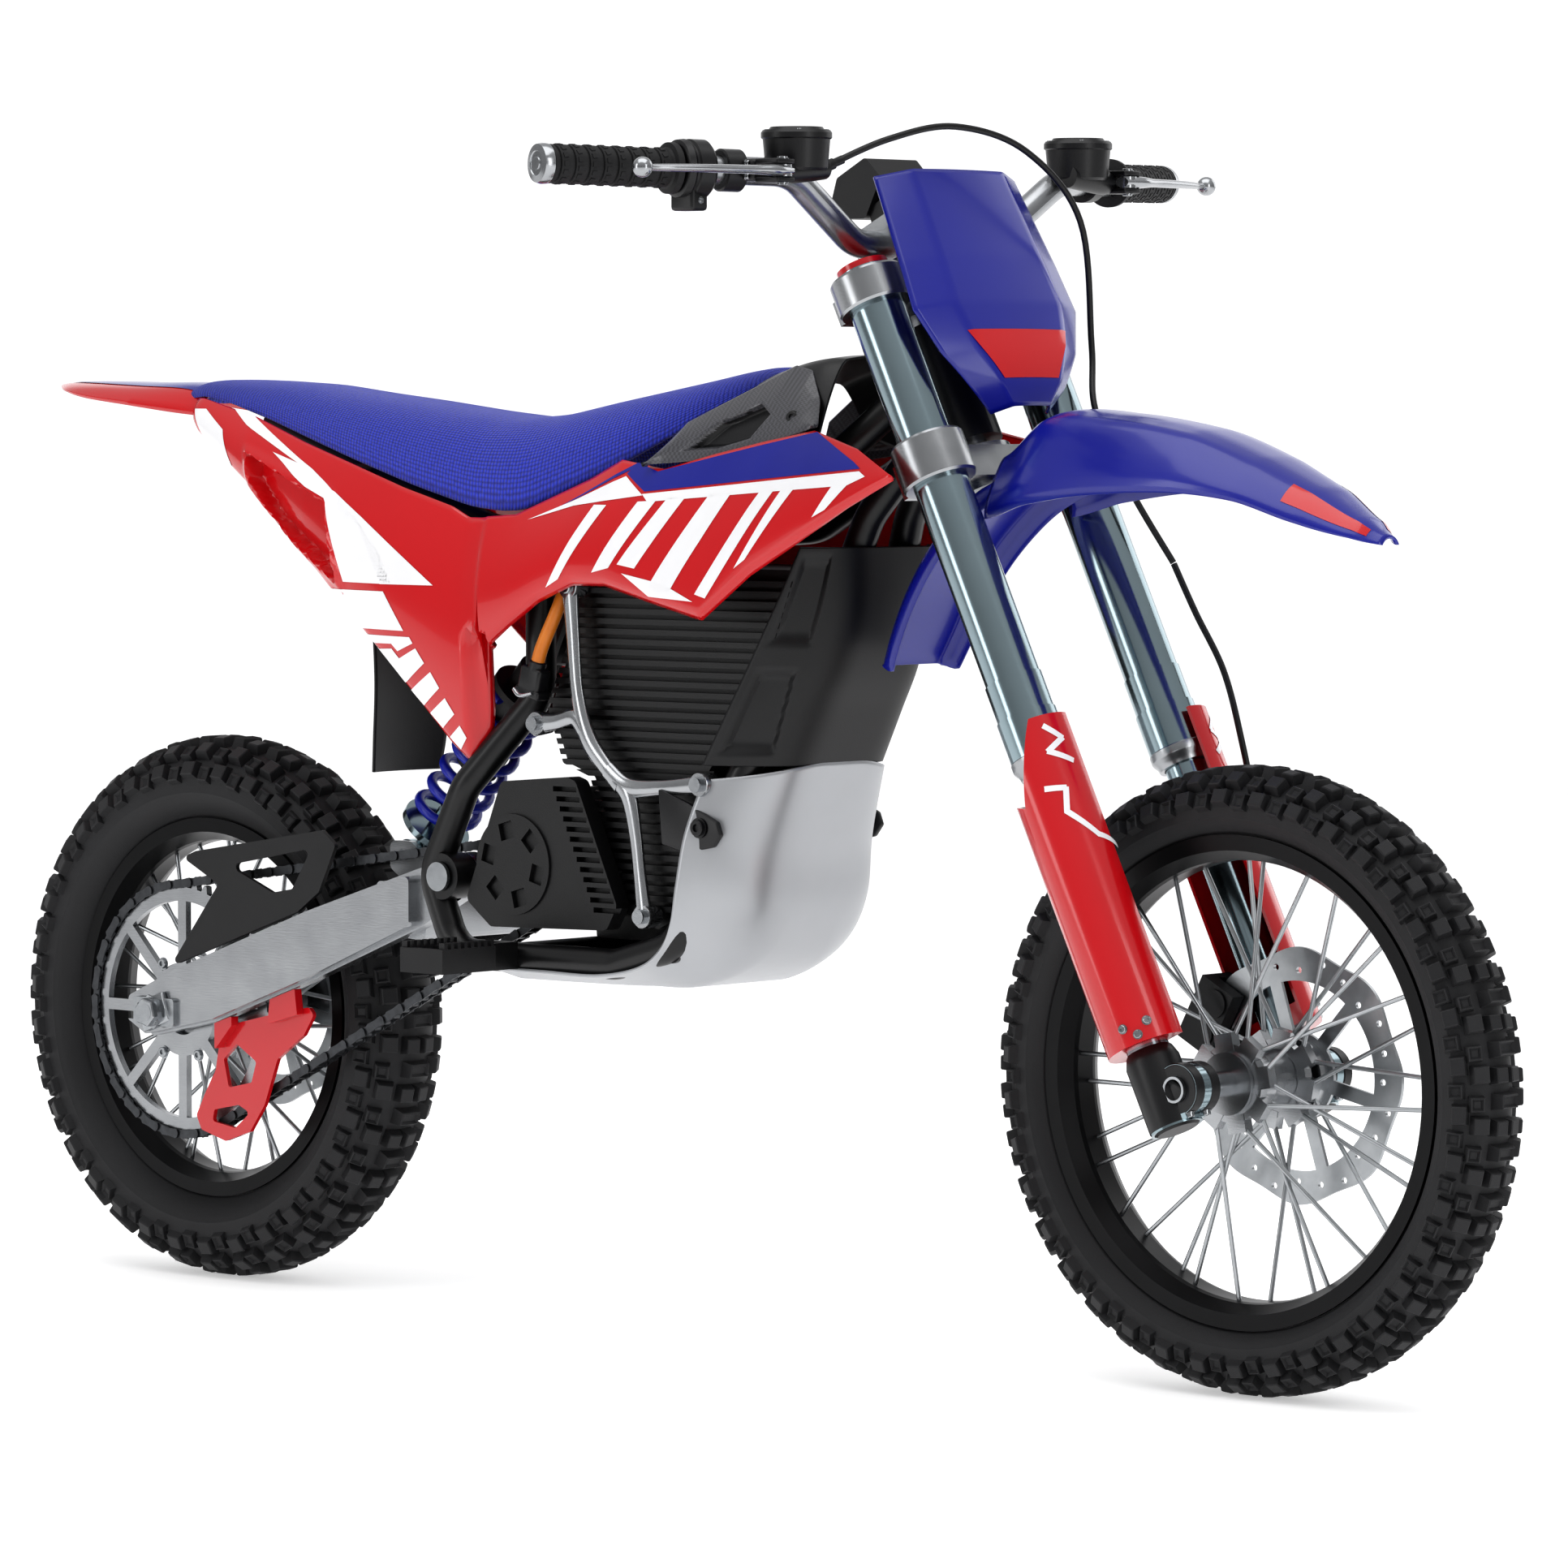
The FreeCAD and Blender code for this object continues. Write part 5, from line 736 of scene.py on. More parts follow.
def nose_point(u, v):
    z, front, back, narrow, wide = eased(NOSE, v)
    across = 2 * u - 1
    size = abs(across)
    if size < 0.25:
        return front, narrow * across / 0.25, z
    share = (size - 0.25) / 0.75
    sink = 5 * ramp(min(share - 0.5 - 0.3 * v, 0.95 - share, v - 0.06, 0.5 - v) * 10, 0.7)
    sink += 4 * ramp(min(share - 0.6, 0.95 - share, v - 0.58, 0.97 - v) * 10, 0.7)
    x = front + (back - front) * share ** 2.2
    y = narrow + (wide - narrow) * share ** 0.7
    return x - sink * 0.5, math.copysign(y - sink, across), z


walled(keep("nose_shroud_moulding", sheet_of(120, 90, nose_point), [nylon], "chassis",
            ("front_shroud",), 30), 2.5)

# --- Drive chain --------------------------------------------------------------------------------
# A roller chain of half-inch pitch: pairs of blanked steel side plates, inner and outer by turns,
# on pins with rollers. It runs round both sprockets.

PITCH = 12.7
wheel_low, wheel_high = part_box("rear_sprocket")
big = (wheel_low + wheel_high) * 500
small = Vector((-96, -56, 380))
big.y = small.y
big_r = PITCH / (2 * math.sin(math.pi / 53))
small_r = PITCH / (2 * math.sin(math.pi / 12))
heading = math.atan2(small.z - big.z, small.x - big.x)
spread = math.acos((big_r - small_r) / (small - big).length)
run = math.sqrt((small - big).length ** 2 - (big_r - small_r) ** 2)
big_arc = big_r * (math.tau - 2 * spread)
small_arc = small_r * 2 * spread
links = 2 * round((2 * run + big_arc + small_arc) / PITCH / 2)


def on_chain(distance):
    """A point on the chain's pitch line: top run, round the small sprocket, lower run, round the big."""
    distance %= 2 * run + big_arc + small_arc
    up, down = heading + spread, heading - spread
    if distance < run:
        start = big + Vector((math.cos(up), 0, math.sin(up))) * big_r
        end = small + Vector((math.cos(up), 0, math.sin(up))) * small_r
        return start.lerp(end, distance / run)
    distance -= run
    if distance < small_arc:
        turn = up - distance / small_r
        return small + Vector((math.cos(turn), 0, math.sin(turn))) * small_r
    distance -= small_arc
    if distance < run:
        start = small + Vector((math.cos(down), 0, math.sin(down))) * small_r
        end = big + Vector((math.cos(down), 0, math.sin(down))) * big_r
        return start.lerp(end, distance / run)
    turn = down - (distance - run) / big_r
    return big + Vector((math.cos(turn), 0, math.sin(turn))) * big_r


def side_plate(thick):
    """A link plate along +X with rounded ends and a waist, in metres."""
    plate = bmesh.new()
    bmesh.ops.create_circle(plate, cap_ends=True, segments=12, radius=0.0046)
    for v in plate.verts:
        if v.co.x > 0.0001:
            v.co.x += PITCH / 1000
        elif abs(v.co.x) <= 0.0001:
            v.co = Vector((PITCH / 2000, v.co.y * 0.72, 0))
    made = bmesh.ops.extrude_face_region(plate, geom=plate.faces[:])
    bmesh.ops.translate(plate, vec=(0, 0, thick), verts=[v for v in made["geom"]
                                                         if isinstance(v, bmesh.types.BMVert)])
    bmesh.ops.recalc_face_normals(plate, faces=plate.faces[:])
    bmesh.ops.rotate(plate, cent=(0, 0, 0), matrix=Matrix.Rotation(math.pi / 2, 3, "X"), verts=plate.verts[:])
    pattern = bpy.data.meshes.new("side plate")
    plate.to_mesh(pattern)
    plate.free()
    return pattern


plate_pattern = side_plate(0.0013)
roller = bmesh.new()
bmesh.ops.create_cone(roller, cap_ends=True, segments=10, radius1=0.0035, radius2=0.0035, depth=0.0125,
                      matrix=Matrix.Rotation(math.pi / 2, 4, "X"))
roller_pattern = bpy.data.meshes.new("roller")
roller.to_mesh(roller_pattern)
roller.free()

blackened, tree, shader, place = new_material("oiled blackened chain steel", Metallic=0.9, Roughness=0.38)
two_tone(tree, shader, place, "#3C3D3F", "#5B5D60", 6)
grain(tree, shader, place, 1.0, 0.05)

loop = bmesh.new()
step = (2 * run + big_arc + small_arc) / links
for k in range(links):
    a, b = on_chain(k * step) / 1000, on_chain((k + 1) * step) / 1000
    slope = math.atan2(b.z - a.z, b.x - a.x)
    turn = Matrix.Rotation(-slope, 4, "Y")
    offset = 0.0056 if k % 2 else 0.0040
    for y in (-offset, offset + 0.0013):
        stamp(loop, plate_pattern, Matrix.Translation(a + Vector((0, y, 0))) @ turn)
    stamp(loop, roller_pattern, Matrix.Translation(a))
chain_piece = keep("chain_links", loop, [blackened], None, ("chain",), 40)
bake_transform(chain_piece)

# --- Shock spring -------------------------------------------------------------------------------
# A cold wound coil spring, powder coated blue, between the two seats of the shock.

SHOCK_TOP = Vector((-178, 0, 549))
SHOCK_LOW = Vector((-340, 0, 374))
way = (SHOCK_LOW - SHOCK_TOP).normalized()
length = (SHOCK_LOW - SHOCK_TOP).length
first, last = 52.0 + 5.0, length - 36.0 - 5.0
coil = bmesh.new()
bmesh.ops.create_circle(coil, segments=10, radius=0.0044,
                        matrix=Matrix.Translation((0.0246, 0, 0)) @ Matrix.Rotation(math.pi / 2, 4, "X"))
turns = 6.5
bmesh.ops.spin(coil, geom=coil.verts[:] + coil.edges[:], cent=(0, 0, 0), axis=(0, 0, 1),
               dvec=(0, 0, (last - first) / 1000 / (turns * 28)), angle=math.tau * turns, steps=int(turns * 28))
bmesh.ops.holes_fill(coil, edges=[e for e in coil.edges if e.is_boundary], sides=0)
bmesh.ops.recalc_face_normals(coil, faces=coil.faces[:])
lay_along = way.to_track_quat("Z", "Y").to_matrix().to_4x4()
bmesh.ops.transform(coil, matrix=Matrix.Translation((SHOCK_TOP + way * first) / 1000) @ lay_along,
                    verts=coil.verts[:])
spring_paint, tree, shader, place = new_material("blue powder coated spring", Roughness=0.3, IOR=1.5)
two_tone(tree, shader, place, "#15219A", "#1E2CB0", 20)
grain(tree, shader, place, 2, 0.05)
spring = keep("coil_spring", coil, [spring_paint], "shock_upper", ("shock_spring",), 60)
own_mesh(spring)

# --- Fork guard graphics ------------------------------------------------------------------------
# Each guard is a half-round red shield over the inner tube. White angular lines are printed on its
# upper end, on a thin film that follows the round.


def guard_line(mesh, points, wide, side):
    """A printed line on the guard: points are degrees round it and millimetres up the fork."""
    for (a, b) in zip(points, points[1:]):
        da, db = (b[0] - a[0]) * 0.54, b[1] - a[1]
        size = math.hypot(da, db)
        off = (-db / size * wide / 2 / 0.54, da / size * wide / 2)

        def place(u, v):
            t = -0.04 + u * 1.08
            turn = math.radians(a[0] + (b[0] - a[0]) * t + off[0] * (2 * v - 1))
            up = a[1] + (b[1] - a[1]) * t + off[1] * (2 * v - 1)
            return by_fork(up, 31.5 * math.cos(turn), side * (83.3 + 31.5 * math.sin(turn)))
        join(mesh, sheet_of(10, 3, place))


for side, name in ((-1, "right"), (1, "left")):
    film = bmesh.new()
    guard_line(film, [(34, 297), (12, 285), (40, 277), (8, 266)], 4.5, side)
    guard_line(film, [(62, 250), (34, 246), (44, 228), (10, 205), (-30, 196)], 4.5, side)
    bmesh.ops.recalc_face_normals(film, faces=film.faces[:])
    keep("guard_graphic_" + name, film, [white_vinyl], "fork_lower")

# --- Handlebar controls -------------------------------------------------------------------------
# Rubber grips with waffle ribs and turned alloy end plugs, a black throttle drum, and on each side a
# cast brake cylinder with a round-topped fluid tank, a bar clamp, and a forged, polished lever.


def turned(mesh, profile, start, end, steps=40, slot=0):
    """Adds a turned piece: the profile gives millimetres along the line from start and the radius."""
    start, end = Vector(start), Vector(end)
    way = (end - start).normalized()
    out = way.orthogonal().normalized()
    part = bmesh.new()
    ring = [part.verts.new((start + way * along + out * radius) / 1000) for along, radius in profile]
    for a, b in zip(ring, ring[1:]):
        part.edges.new((a, b))
    bmesh.ops.spin(part, geom=part.verts[:] + part.edges[:], cent=start / 1000, axis=way,
                   angle=math.tau, steps=steps)
    bmesh.ops.remove_doubles(part, verts=part.verts[:], dist=0.00001)
    bmesh.ops.recalc_face_normals(part, faces=part.faces[:])
    for face in part.faces:
        face.material_index = slot
    join(mesh, part)


def swept(mesh, route, sizes, steps=12, fine=6, flat=1.0, slot=0):
    """Adds a round bar through the route's points; sizes are its radii, flat thins it upward."""
    part = bmesh.new()
    rows = [tuple(p) + (r,) for p, r in zip(route, sizes)]
    count = (len(rows) - 1) * fine
    spots = [eased(rows, i / count) for i in range(count + 1)]
    loops, out = [], None
    for i, (x, y, z, r) in enumerate(spots):
        a, b = spots[max(i - 1, 0)], spots[min(i + 1, count)]
        way = (Vector(b[:3]) - Vector(a[:3])).normalized()
        out = (Vector((0, 0, 1)) if out is None else out)
        out = (out - way * out.dot(way)).normalized()
        cross = way.cross(out)
        loops.append([part.verts.new((Vector((x, y, z)) + (out * math.cos(t) * flat + cross * math.sin(t)) * r)
                                     / 1000) for t in [math.tau * k / steps for k in range(steps)]])
    for a, b in zip(loops, loops[1:]):
        for k in range(steps):
            part.faces.new((a[k], a[(k + 1) % steps], b[(k + 1) % steps], b[k]))
    part.faces.new(loops[0])
    part.faces.new(loops[-1])
    bmesh.ops.recalc_face_normals(part, faces=part.faces[:])
    for face in part.faces:
        face.material_index = slot
    join(mesh, part)


def block(mesh, centre, size, turn=0.0, round_by=1.5, slot=0):
    """Adds a box with rounded edges, turned about the bike's Y axis."""
    part = bmesh.new()
    bmesh.ops.create_cube(part, size=1.0)
    for v in part.verts:
        v.co = Vector([c * s for c, s in zip(v.co, size)])
    bmesh.ops.bevel(part, geom=part.edges[:], offset=round_by, segments=3, affect="EDGES", profile=0.5,
                    material=-1)
    spin = Matrix.Rotation(turn, 3, "Y")
    for v in part.verts:
        v.co = (Vector(centre) + spin @ v.co) / 1000
    bmesh.ops.recalc_face_normals(part, faces=part.faces[:])
    for face in part.faces:
        face.material_index = slot
    join(mesh, part)


def hex_bolt(mesh, spot, way, radius, tall, slot=0):
    """A cap bolt: washer, round head with a chamfer and a sunk socket."""
    spot, way = Vector(spot), Vector(way)
    turned(mesh, [(0, 0), (0, radius * 1.25), (tall * 0.22, radius * 1.25), (tall * 0.22, radius),
                  (tall * 0.85, radius), (tall, radius * 0.86), (tall, radius * 0.5),
                  (tall * 0.5, radius * 0.45), (tall * 0.5, 0)], spot, spot + way, 24, slot)


grip_rubber, tree, shader, place = new_material("black grip rubber", Roughness=0.62)
two_tone(tree, shader, place, "#08080A", "#141416", 40)
grain(tree, shader, place, 1.2, 0.12)
cast_nylon, tree, shader, place = new_material("black moulded switchgear", Roughness=0.38)
two_tone(tree, shader, place, "#08080A", "#101013", 60)
grain(tree, shader, place, 2.0, 0.05)
polished, tree, shader, place = new_material("polished forged alloy", Metallic=0.95, Roughness=0.2)
two_tone(tree, shader, place, "#9EA0A3", "#B4B6B8", 50)
grain(tree, shader, place, 0.8, 0.02)

for side, name, body in ((-1, "right", "throttle"), (1, "left", "steering")):
    end = Vector((163.5, side * 372.0, 933.7))
    way = (Vector((228.0, side * 160.0, 930.0)) - end).normalized()
    grip = bmesh.new()
    turned(grip, [(-0.8, 0), (-1.4, 5), (-0.6, 5.4), (-0.6, 9), (-1.4, 9.6), (-0.4, 14.6), (3, 15.6), (7.5, 15.4),
                  (7.5, 11.3)], end, end + way, 48, 1)
    outline = [(8.2, 11.3), (8.2, 15.0)]
    for i in range(8):
        start = 11 + i * 12.4
        outline += [(start, 14.9), (start + 0.6, 13.6), (start + 1.8, 13.6), (start + 2.4, 14.9)]
    turned(grip, outline + [(110, 14.6), (111.5, 16), (112.5, 19.6), (117.6, 19.8), (118, 18.8),
                            (118, 11.3)], end, end + way, 48)
    for i in range(8):
        for k in range(14):
            turn = math.tau * (k + 0.5 * (i % 2)) / 14
            side_on = Vector((0, 0, 1)).cross(way).normalized()
            out = side_on * math.cos(turn) + way.cross(side_on) * math.sin(turn)
            spot = end + way * (17.2 + i * 12.4) + out * 14.4
            turned(grip, [(-1, 3.4), (1.1, 2.6), (1.2, 0)], spot, spot + out, 4)
    keep("grip_" + name, grip, [grip_rubber, polished], body,
         ("throttle_grip" if side < 0 else "left_grip",), 30)

end = Vector((163.5, -372.0, 933.7))
way = (Vector((228.0, -160.0, 930.0)) - end).normalized()
drum = bmesh.new()
turned(drum, [(119.4, 11.4), (119.4, 19), (121, 22), (126, 22.8), (128, 21.4), (130, 21.4), (131, 22.8),
              (143, 22.8), (146, 20), (146, 11.4)], end, end + way, 56)
block(drum, end + way * 132 + Vector((0, 0, -22)), (24, 18, 20), 0, 3)
hex_bolt(drum, end + way * 132 + Vector((12, 0, -24)), (1, 0, 0), 2.2, 1.6, 1)
keep("throttle_drum", drum, [cast_nylon, polished], "steering", ("throttle_housing",), 30)

cylinders = bmesh.new()
for side in (-1, 1):
    end = Vector((163.5, side * 372.0, 933.7))
    way = (Vector((228.0, side * 160.0, 930.0)) - end).normalized()
    turned(cylinders, [(158, 11.3), (158, 15), (159, 16.4), (175, 16.4), (176, 15), (176, 11.3)], end,
           end + way, 40)
    ahead = end + way * 167
    block(cylinders, ahead + Vector((17, side * -6, 0)), (22, 15, 17), 0, 3)
    for lift in (-1, 1):
        hex_bolt(cylinders, ahead + Vector((20, side * 1.5, 5 * lift)), (1, 0, 0), 2.4, 3, 1)
    swept(cylinders, [(246, side * 212, 929), (247, side * 192, 930), (249, side * 168, 932),
                      (250, side * 146, 933.5)], [7, 10, 10, 9], 20)
    turned(cylinders, [(0, 0), (0, 22), (2, 24), (24, 26), (25, 27.4), (29, 27.4), (31, 26), (31, 22),
                       (33.5, 20), (33.5, 0)], (242, side * 168, 931), (242, side * 168, 932), 48)
    for dx, dy in ((-14, -13), (14, -13), (-14, 13), (14, 13)):
        hex_bolt(cylinders, (242 + dx * 1.2, side * (168 + dy * 1.2), 961.6), (0, 0, 1), 2.0, 1.2, 1)
    block(cylinders, (255, side * 207, 937), (24, 20, 4.6), 0, 1.6)
    block(cylinders, (255, side * 207, 923), (24, 20, 4.6), 0, 1.6)
    hex_bolt(cylinders, (262, side * 206, 939), (0, 0, 1), 4, 2, 1)
    hex_bolt(cylinders, (262, side * 206, 921), (0, 0, -1), 4, 2, 1)
keep("brake_cylinders", cylinders, [cast_nylon, polished], "steering",
     ("master_cylinders",), 30)

for side, name, body in ((-1, "front_brake_lever", "front_lever"), (1, "rear_brake_lever", "rear_lever")):
    lever = bmesh.new()
    swept(lever, [(262, side * 199, 930), (262, side * 208, 930), (265, side * 220, 930),
                  (262, side * 238, 930), (258, side * 262, 930), (253, side * 286, 930),
                  (246, side * 308, 930), (240, side * 324, 930), (238, side * 334, 930)],
          [6.5, 8.5, 7.5, 5.6, 5.4, 5.2, 4.8, 4.2, 3.4], 20, 6, 0.62)
    part = bmesh.new()
    bmesh.ops.create_uvsphere(part, u_segments=24, v_segments=16, radius=0.0078)
    bmesh.ops.translate(part, vec=Vector((238.4, side * 336, 930)) / 1000, verts=part.verts[:])
    join(lever, part)
    turned(lever, [(-4.5, 0), (-4.5, 7.4), (4.5, 7.4), (4.5, 0)], (262, side * 206, 930),
           (262, side * 206, 931), 32)
    keep(name + "_forging", lever, [polished], body, (name,), 40)

# --- Brake hoses --------------------------------------------------------------------------------
# Black rubber hose of 5 mm: the upper run bows over the number plate and goes down the left leg to
# a clip on the fork; the lower run hangs from the clip to the caliper.

hose_rubber, tree, shader, place = new_material("black hose rubber", Roughness=0.42)
two_tone(tree, shader, place, "#060607", "#0E0E10", 30)
grain(tree, shader, place, 1.0, 0.05)
hose = bmesh.new()
upper = [(246, -141, 934), (262, -84, 957), (275, -20, 968), (292, 45, 950), (308, 92, 896)]
upper += [tuple(by_fork(*p)) for p in ((612, 42, 104), (556, 38, 84), (490, 38, 90), (424, 38, 110))]
swept(hose, upper, [2.6] * 9, 14, 10)
turned(hose, [(0, 0), (0, 4.4), (9, 4.4), (10, 3.4), (18, 3.4), (18, 0)], upper[0],
       Vector(upper[0]) + Vector((16, 57, 23)), 20)
keep("front_hose_run", hose, [hose_rubber], "steering", ("front_brake_hose",), 50)
lower = [tuple(by_fork(*p)) for p in ((423, 38, 110), (380, 39, 113), (330, 41, 118), (276, 39, 112),
                                      (222, 22, 118), (168, -6, 122), (116, -34, 112), (78, -50, 96),
                                      (62, -52, 82))]
hose = bmesh.new()
swept(hose, lower, [2.6] * 9, 14, 10)
run_down = keep("lower_hose_run", hose, [hose_rubber], None, ("front_lower_hose",), 50)
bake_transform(run_down)

# --- Fork feet ----------------------------------------------------------------------------------
# Cast feet painted black carry the axle; each is split below the axle and closed by pinch bolts. The
# guards are screwed to them, and a silver wiper cap closes each outer tube.

feet = bmesh.new()
wipers = bmesh.new()
for side in (-1, 1):
    y = side * 83.3
    turned(feet, [(-25.5, 0), (-25.5, 16), (-22, 21), (30, 21.2), (38, 18.4), (40, 16.8)], by_fork(0, 0, y),
           by_fork(1, 0, y), 40)
    turned(feet, [(0, 10.2), (0, 18), (1.5, 19.8), (10, 19.8), (11, 18.6), (19, 18.6), (20, 19.8),
                  (28.5, 19.8), (30, 18), (30, 10.2)], (559.75, side * 65.6, 240), (559.75, side * 66, 240), 48)
    block(feet, by_fork(-6, 10, y), (24, 24.6, 34.6), math.radians(-26) * -1, 3)
    for reach in (71, 90):
        hex_bolt(feet, Vector((559.75, side * reach, 240)) + Vector((8, 0, -17)), (0.3, 0, -0.95), 4, 4, 1)
    for lift, turn in ((48, 58), (56, 40), (56, 76)):
        spot = by_fork(lift, 31 * math.cos(math.radians(turn)), side * (83.3 + 31 * math.sin(math.radians(turn))))
        out = by_fork(lift, 60 * math.cos(math.radians(turn)), side * (83.3 + 60 * math.sin(math.radians(turn))))
        hex_bolt(feet, spot, (out - spot).normalized(), 3, 2.6, 1)
    turned(wipers, [(268, 17.2), (268, 20.6), (272, 21.6), (275.5, 24), (277, 24.4), (282, 24.4), (282.6, 23.9)],
           by_fork(0, 0, y), by_fork(1, 0, y), 56, 0)
    for low, high in ((514, 548), (664, 690)):
        turned(wipers, [(low - 1, 22), (low - 1, 28.4), (low + 1, 29.6), (high - 1, 29.6), (high + 1, 28.4),
                        (high + 1, 22)], by_fork(0, 0, y), by_fork(1, 0, y), 56, 0)
keep("fork_feet_shell", feet, [cast_nylon, polished], "fork_lower", (), 30)
keep("fork_wipers_and_bands", wipers, [machined], "steering", (), 30)

# --- Battery braces and lead --------------------------------------------------------------------
# A forged alloy Y on each side holds the battery in the cradle with bolts in its round eyes. The
# orange high-current lead ends in a black plug behind it, locked by a silver lever.

for side, name in ((-1, "right"), (1, "left")):
    brace = bmesh.new()
    for route, sizes in (([(-72, 605), (-69, 570), (-64, 520), (-52, 484), (-30, 459), (-16, 447)],
                          [8.4, 7.0, 6.6, 8.4, 7.4, 8.4]),
                         ([(-108, 494), (-88, 496), (-68, 500), (-56, 490)], [8.2, 6.6, 6.8, 8.0]),
                         ([(-30, 459), (-8, 446), (30, 447), (72, 451)], [8.0, 8.0, 6.4, 8.0]),
                         ([(-26, 456), (-8, 440), (0, 410), (5, 376), (10, 343)], [7.8, 8.2, 6.6, 6.4, 8.0])):
        part = bmesh.new()
        swept(part, [(x, 0, z) for x, z in route], sizes, 16, 8)
        for v in part.verts:
            v.co.y = v.co.y * 0.55 + side * 0.0925
        join(brace, part)
    for x, z in ((-72, 605), (-108, 494), (72, 451), (10, 343)):
        turned(brace, [(-12, 0), (-12, 8.6), (2.6, 10.2), (4.2, 9.2), (4.2, 6), (3, 5.6), (3, 0)],
               (x, side * 92, z), (x, side * 93, z), 36)
        hex_bolt(brace, (x, side * 95, z), (0, side, 0), 5.0, 4.2, 1)
    keep("brace_forging_" + name, brace, [polished, polished], "chassis",
         ("battery_braces",) if side < 0 else (), 40)

lead = bmesh.new()
swept(lead, [(-84, -84, 606), (-90, -90, 584), (-102, -94, 556), (-107, -95, 540)], [5.6] * 4, 20, 10)
keep("battery_cable", lead, [orange_lead], "chassis", ("battery_lead",), 50)
plug = bmesh.new()
block(plug, (-110, -95, 529), (23, 15, 22), 0.25, 3)
block(plug, (-112, -95, 519), (27, 16, 7), 0.25, 2)
turned(plug, [(-3, 7.6), (6, 7.2), (7, 5.8)], (-107.5, -95, 538), (-106.5, -95, 541), 24)
swept(plug, [(-124, -103.5, 522), (-116, -104.5, 517), (-104, -103.5, 519)], [2.4, 2.8, 2.0], 12, 6, 0.8, 1)
keep("battery_plug", plug, [cast_nylon, polished], "chassis", (), 30)

# --- Trim over the battery and the steering head --------------------------------------------------
# Grey trim with a printed carbon weave fills the gap between the seat's nose and the wings, with a
# vent cut in it; in front of it a plain black hood with a screw covers the steering head.

carbon, tree, shader, place = new_material("carbon weave trim", Roughness=0.32, Coat_Weight=0.3)
weave = add(tree, "ShaderNodeTexChecker", {"Vector": place, "Scale": 420.0, "Color1": colour("#3E3E42"),
                                           "Color2": colour("#525257")})
tree.links.new(weave.outputs[0], shader.inputs["Base Color"])
TRIM = [(22, 704, 704, 104, 103), (50, 706, 738, 105, 84), (80, 708, 753, 105, 74),
        (110, 712, 768, 105, 64), (140, 718, 783, 105, 55), (160, 723, 779, 105, 58), (182, 729, 757, 105, 74),
        (206, 735, 736, 104, 103)]
VENT = [(62, 716), (88, 738), (126, 752), (142, 744), (130, 726), (96, 718)]


def trim_point(u, v):
    x, low, high, y_low, y_high = at(TRIM, 22 + 184 * u)
    z = low + (high - low) * v
    y = y_low + (y_high - y_low) * v + 5 * math.sin(math.pi * v)
    sunk = ramp(depth_in(VENT, x, z) + 1.5, 5)
    return x + 5 * sunk, -(y - 9 * sunk), z


trim = sheet_of(110, 60, trim_point)
for face in trim.faces:
    spot = face.calc_center_median() * 1000
    face.material_index = 1 if depth_in(VENT, spot.x - 2, spot.z) > 1.0 else 0
walled(keep("trim_right", mirrored(mirrored(trim)), [carbon, cast_nylon], "chassis",
            ("trim_panels",), 30), 2)
other = sheet_of(110, 60, trim_point)
for face in other.faces:
    spot = face.calc_center_median() * 1000
    face.material_index = 1 if depth_in(VENT, spot.x - 2, spot.z) > 1.0 else 0
walled(keep("trim_left", mirrored(other), [carbon, cast_nylon], "chassis", (), 30), 2)

HOOD = [(96, 768, 726, 46, 80), (118, 776, 716, 46, 88), (146, 783, 702, 47, 94), (166, 786, 690, 46, 98),
        (182, 786, 682, 42, 98)]


def hood_point(u, v):
    x, top, low, narrow, wide = eased(HOOD, u)
    across = 2 * v - 1
    size = abs(across)
    if size < 0.4:
        return x, -narrow * across / 0.4, top + 3 * (1 - (size / 0.4) ** 2)
    share = (size - 0.4) / 0.6
    y = narrow + (wide - narrow) * share ** 0.8
    return x + 10 * share * (u - 0.2), math.copysign(y, -across), top + (low - top) * share ** 1.15


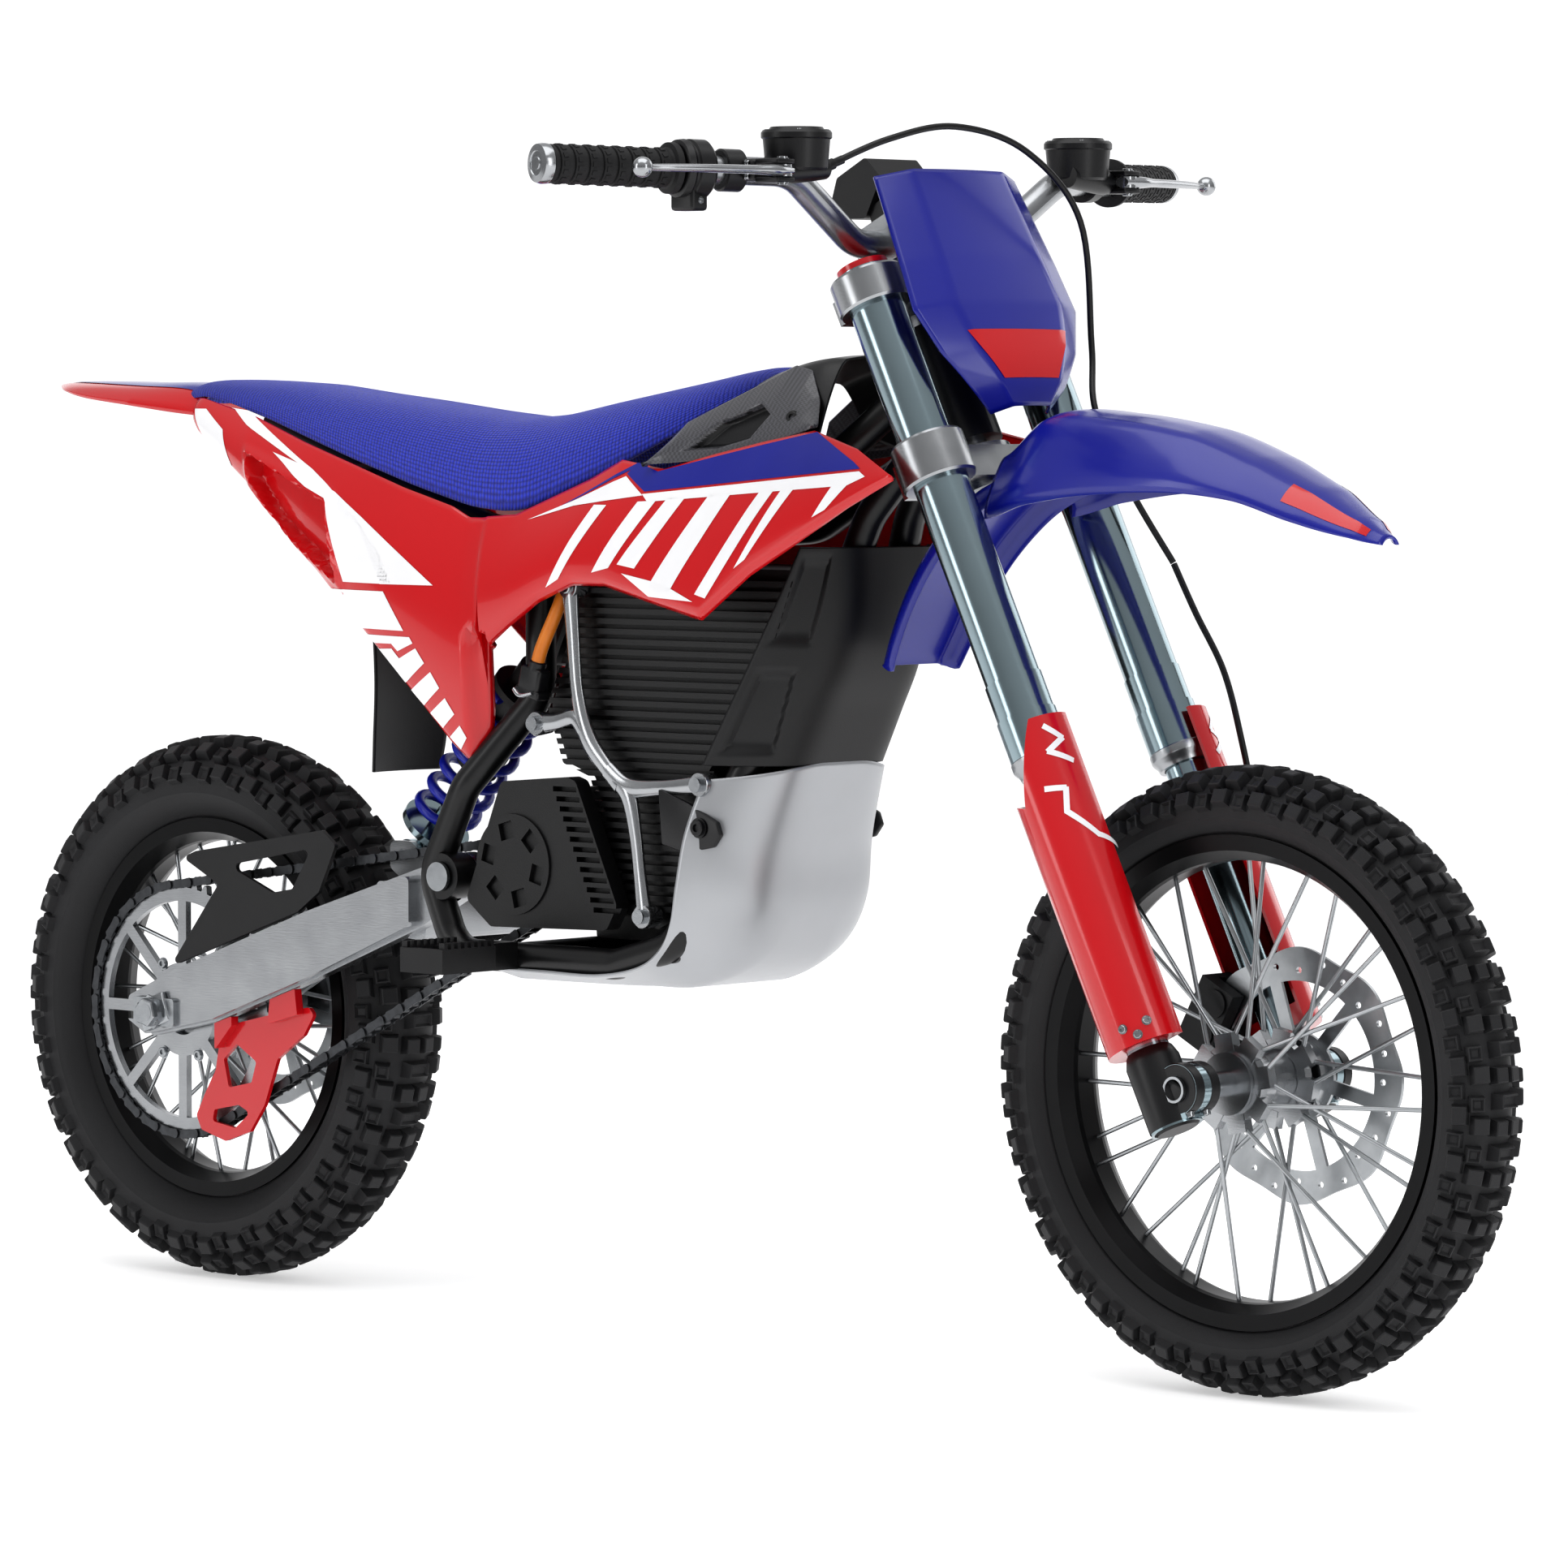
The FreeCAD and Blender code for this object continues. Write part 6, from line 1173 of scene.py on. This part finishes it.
hood = sheet_of(40, 60, hood_point)
walled(keep("steering_head_hood", hood, [cast_nylon], "chassis", (), 40), 2)
studs = bmesh.new()
for side in (-1, 1):
    hex_bolt(studs, (170, side * 93, 742), (0.25, side * 0.9, 0.3), 4.5, 2.5, 0)
    # Black nylon bracket that ties the skid plate to the battery, with its bolt.
    hex_bolt(studs, (76, side * 99.5, 417), (0, side, 0), 6.5, 4, 0)
keep("cover_screws", studs, [cast_nylon], "chassis", (), 30)
for side, name in ((-1, "right"), (1, "left")):
    lug = bmesh.new()
    ring = [(30, 446), (62, 436), (94, 422), (98, 412), (90, 402), (60, 396), (34, 402)]
    face = lug.faces.new([lug.verts.new(Vector((x, side * 93.5, z)) / 1000) for x, z in ring])
    made = bmesh.ops.extrude_face_region(lug, geom=[face])
    for v in made["geom"]:
        if isinstance(v, bmesh.types.BMVert):
            v.co.y += side * 0.005
    bmesh.ops.bevel(lug, geom=lug.edges[:], offset=0.0015, segments=3, affect="EDGES", profile=0.5,
                    material=-1)
    bmesh.ops.recalc_face_normals(lug, faces=lug.faces[:])
    keep("skid_bracket_" + name, lug, [cast_nylon], "chassis", (), 30)

# --- Mudguard behind the shock ------------------------------------------------------------------
# A black nylon apron hangs from the seat base and keeps mud off the shock; it curves to the tyre.

APRON = [(-366, 660, 46), (-358, 612, 46), (-354, 575, 46), (-352, 520, 45), (-356, 470, 43), (-360, 444, 40)]


def apron_point(u, v):
    x, z, half = eased(APRON, v)
    across = 2 * u - 1
    return x + 7 * across * across, half * across, z


walled(keep("shock_apron", sheet_of(30, 50, apron_point), [nylon], "chassis",
            ("inner_fender",), 30), 2)

# --- Axle nuts and sprocket bolts -----------------------------------------------------------------
# The rear axle is closed by a hexagon nut on a square adjuster block at each arm end, all zinc plated, and
# six bright bolts hold the sprocket to its carrier.

low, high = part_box("rear_axle")
axle = (low + high) * 500
nuts = bmesh.new()
for side in (-1, 1):
    block(nuts, (axle.x, side * 90.5, axle.z), (34, 5, 26), math.radians(-20), 1.5)
    turned(nuts, [(93, 0), (93, 15), (95, 15), (95, 12.4), (102, 12.4), (103, 11.4), (103, 0)],
           (axle.x, 0, axle.z), (axle.x, side * 1.0, axle.z), 6)
keep("rear_axle_nuts", nuts, [plated], "swing", (), 30)
bolts = bmesh.new()
for k in range(6):
    turn = math.tau * k / 6
    hex_bolt(bolts, (axle.x + 44 * math.cos(turn), -59.2, axle.z + 44 * math.sin(turn)), (0, -1, 0), 4.4, 3, 0)
keep("sprocket_bolts", bolts, [plated], "rear_wheel", (), 30)
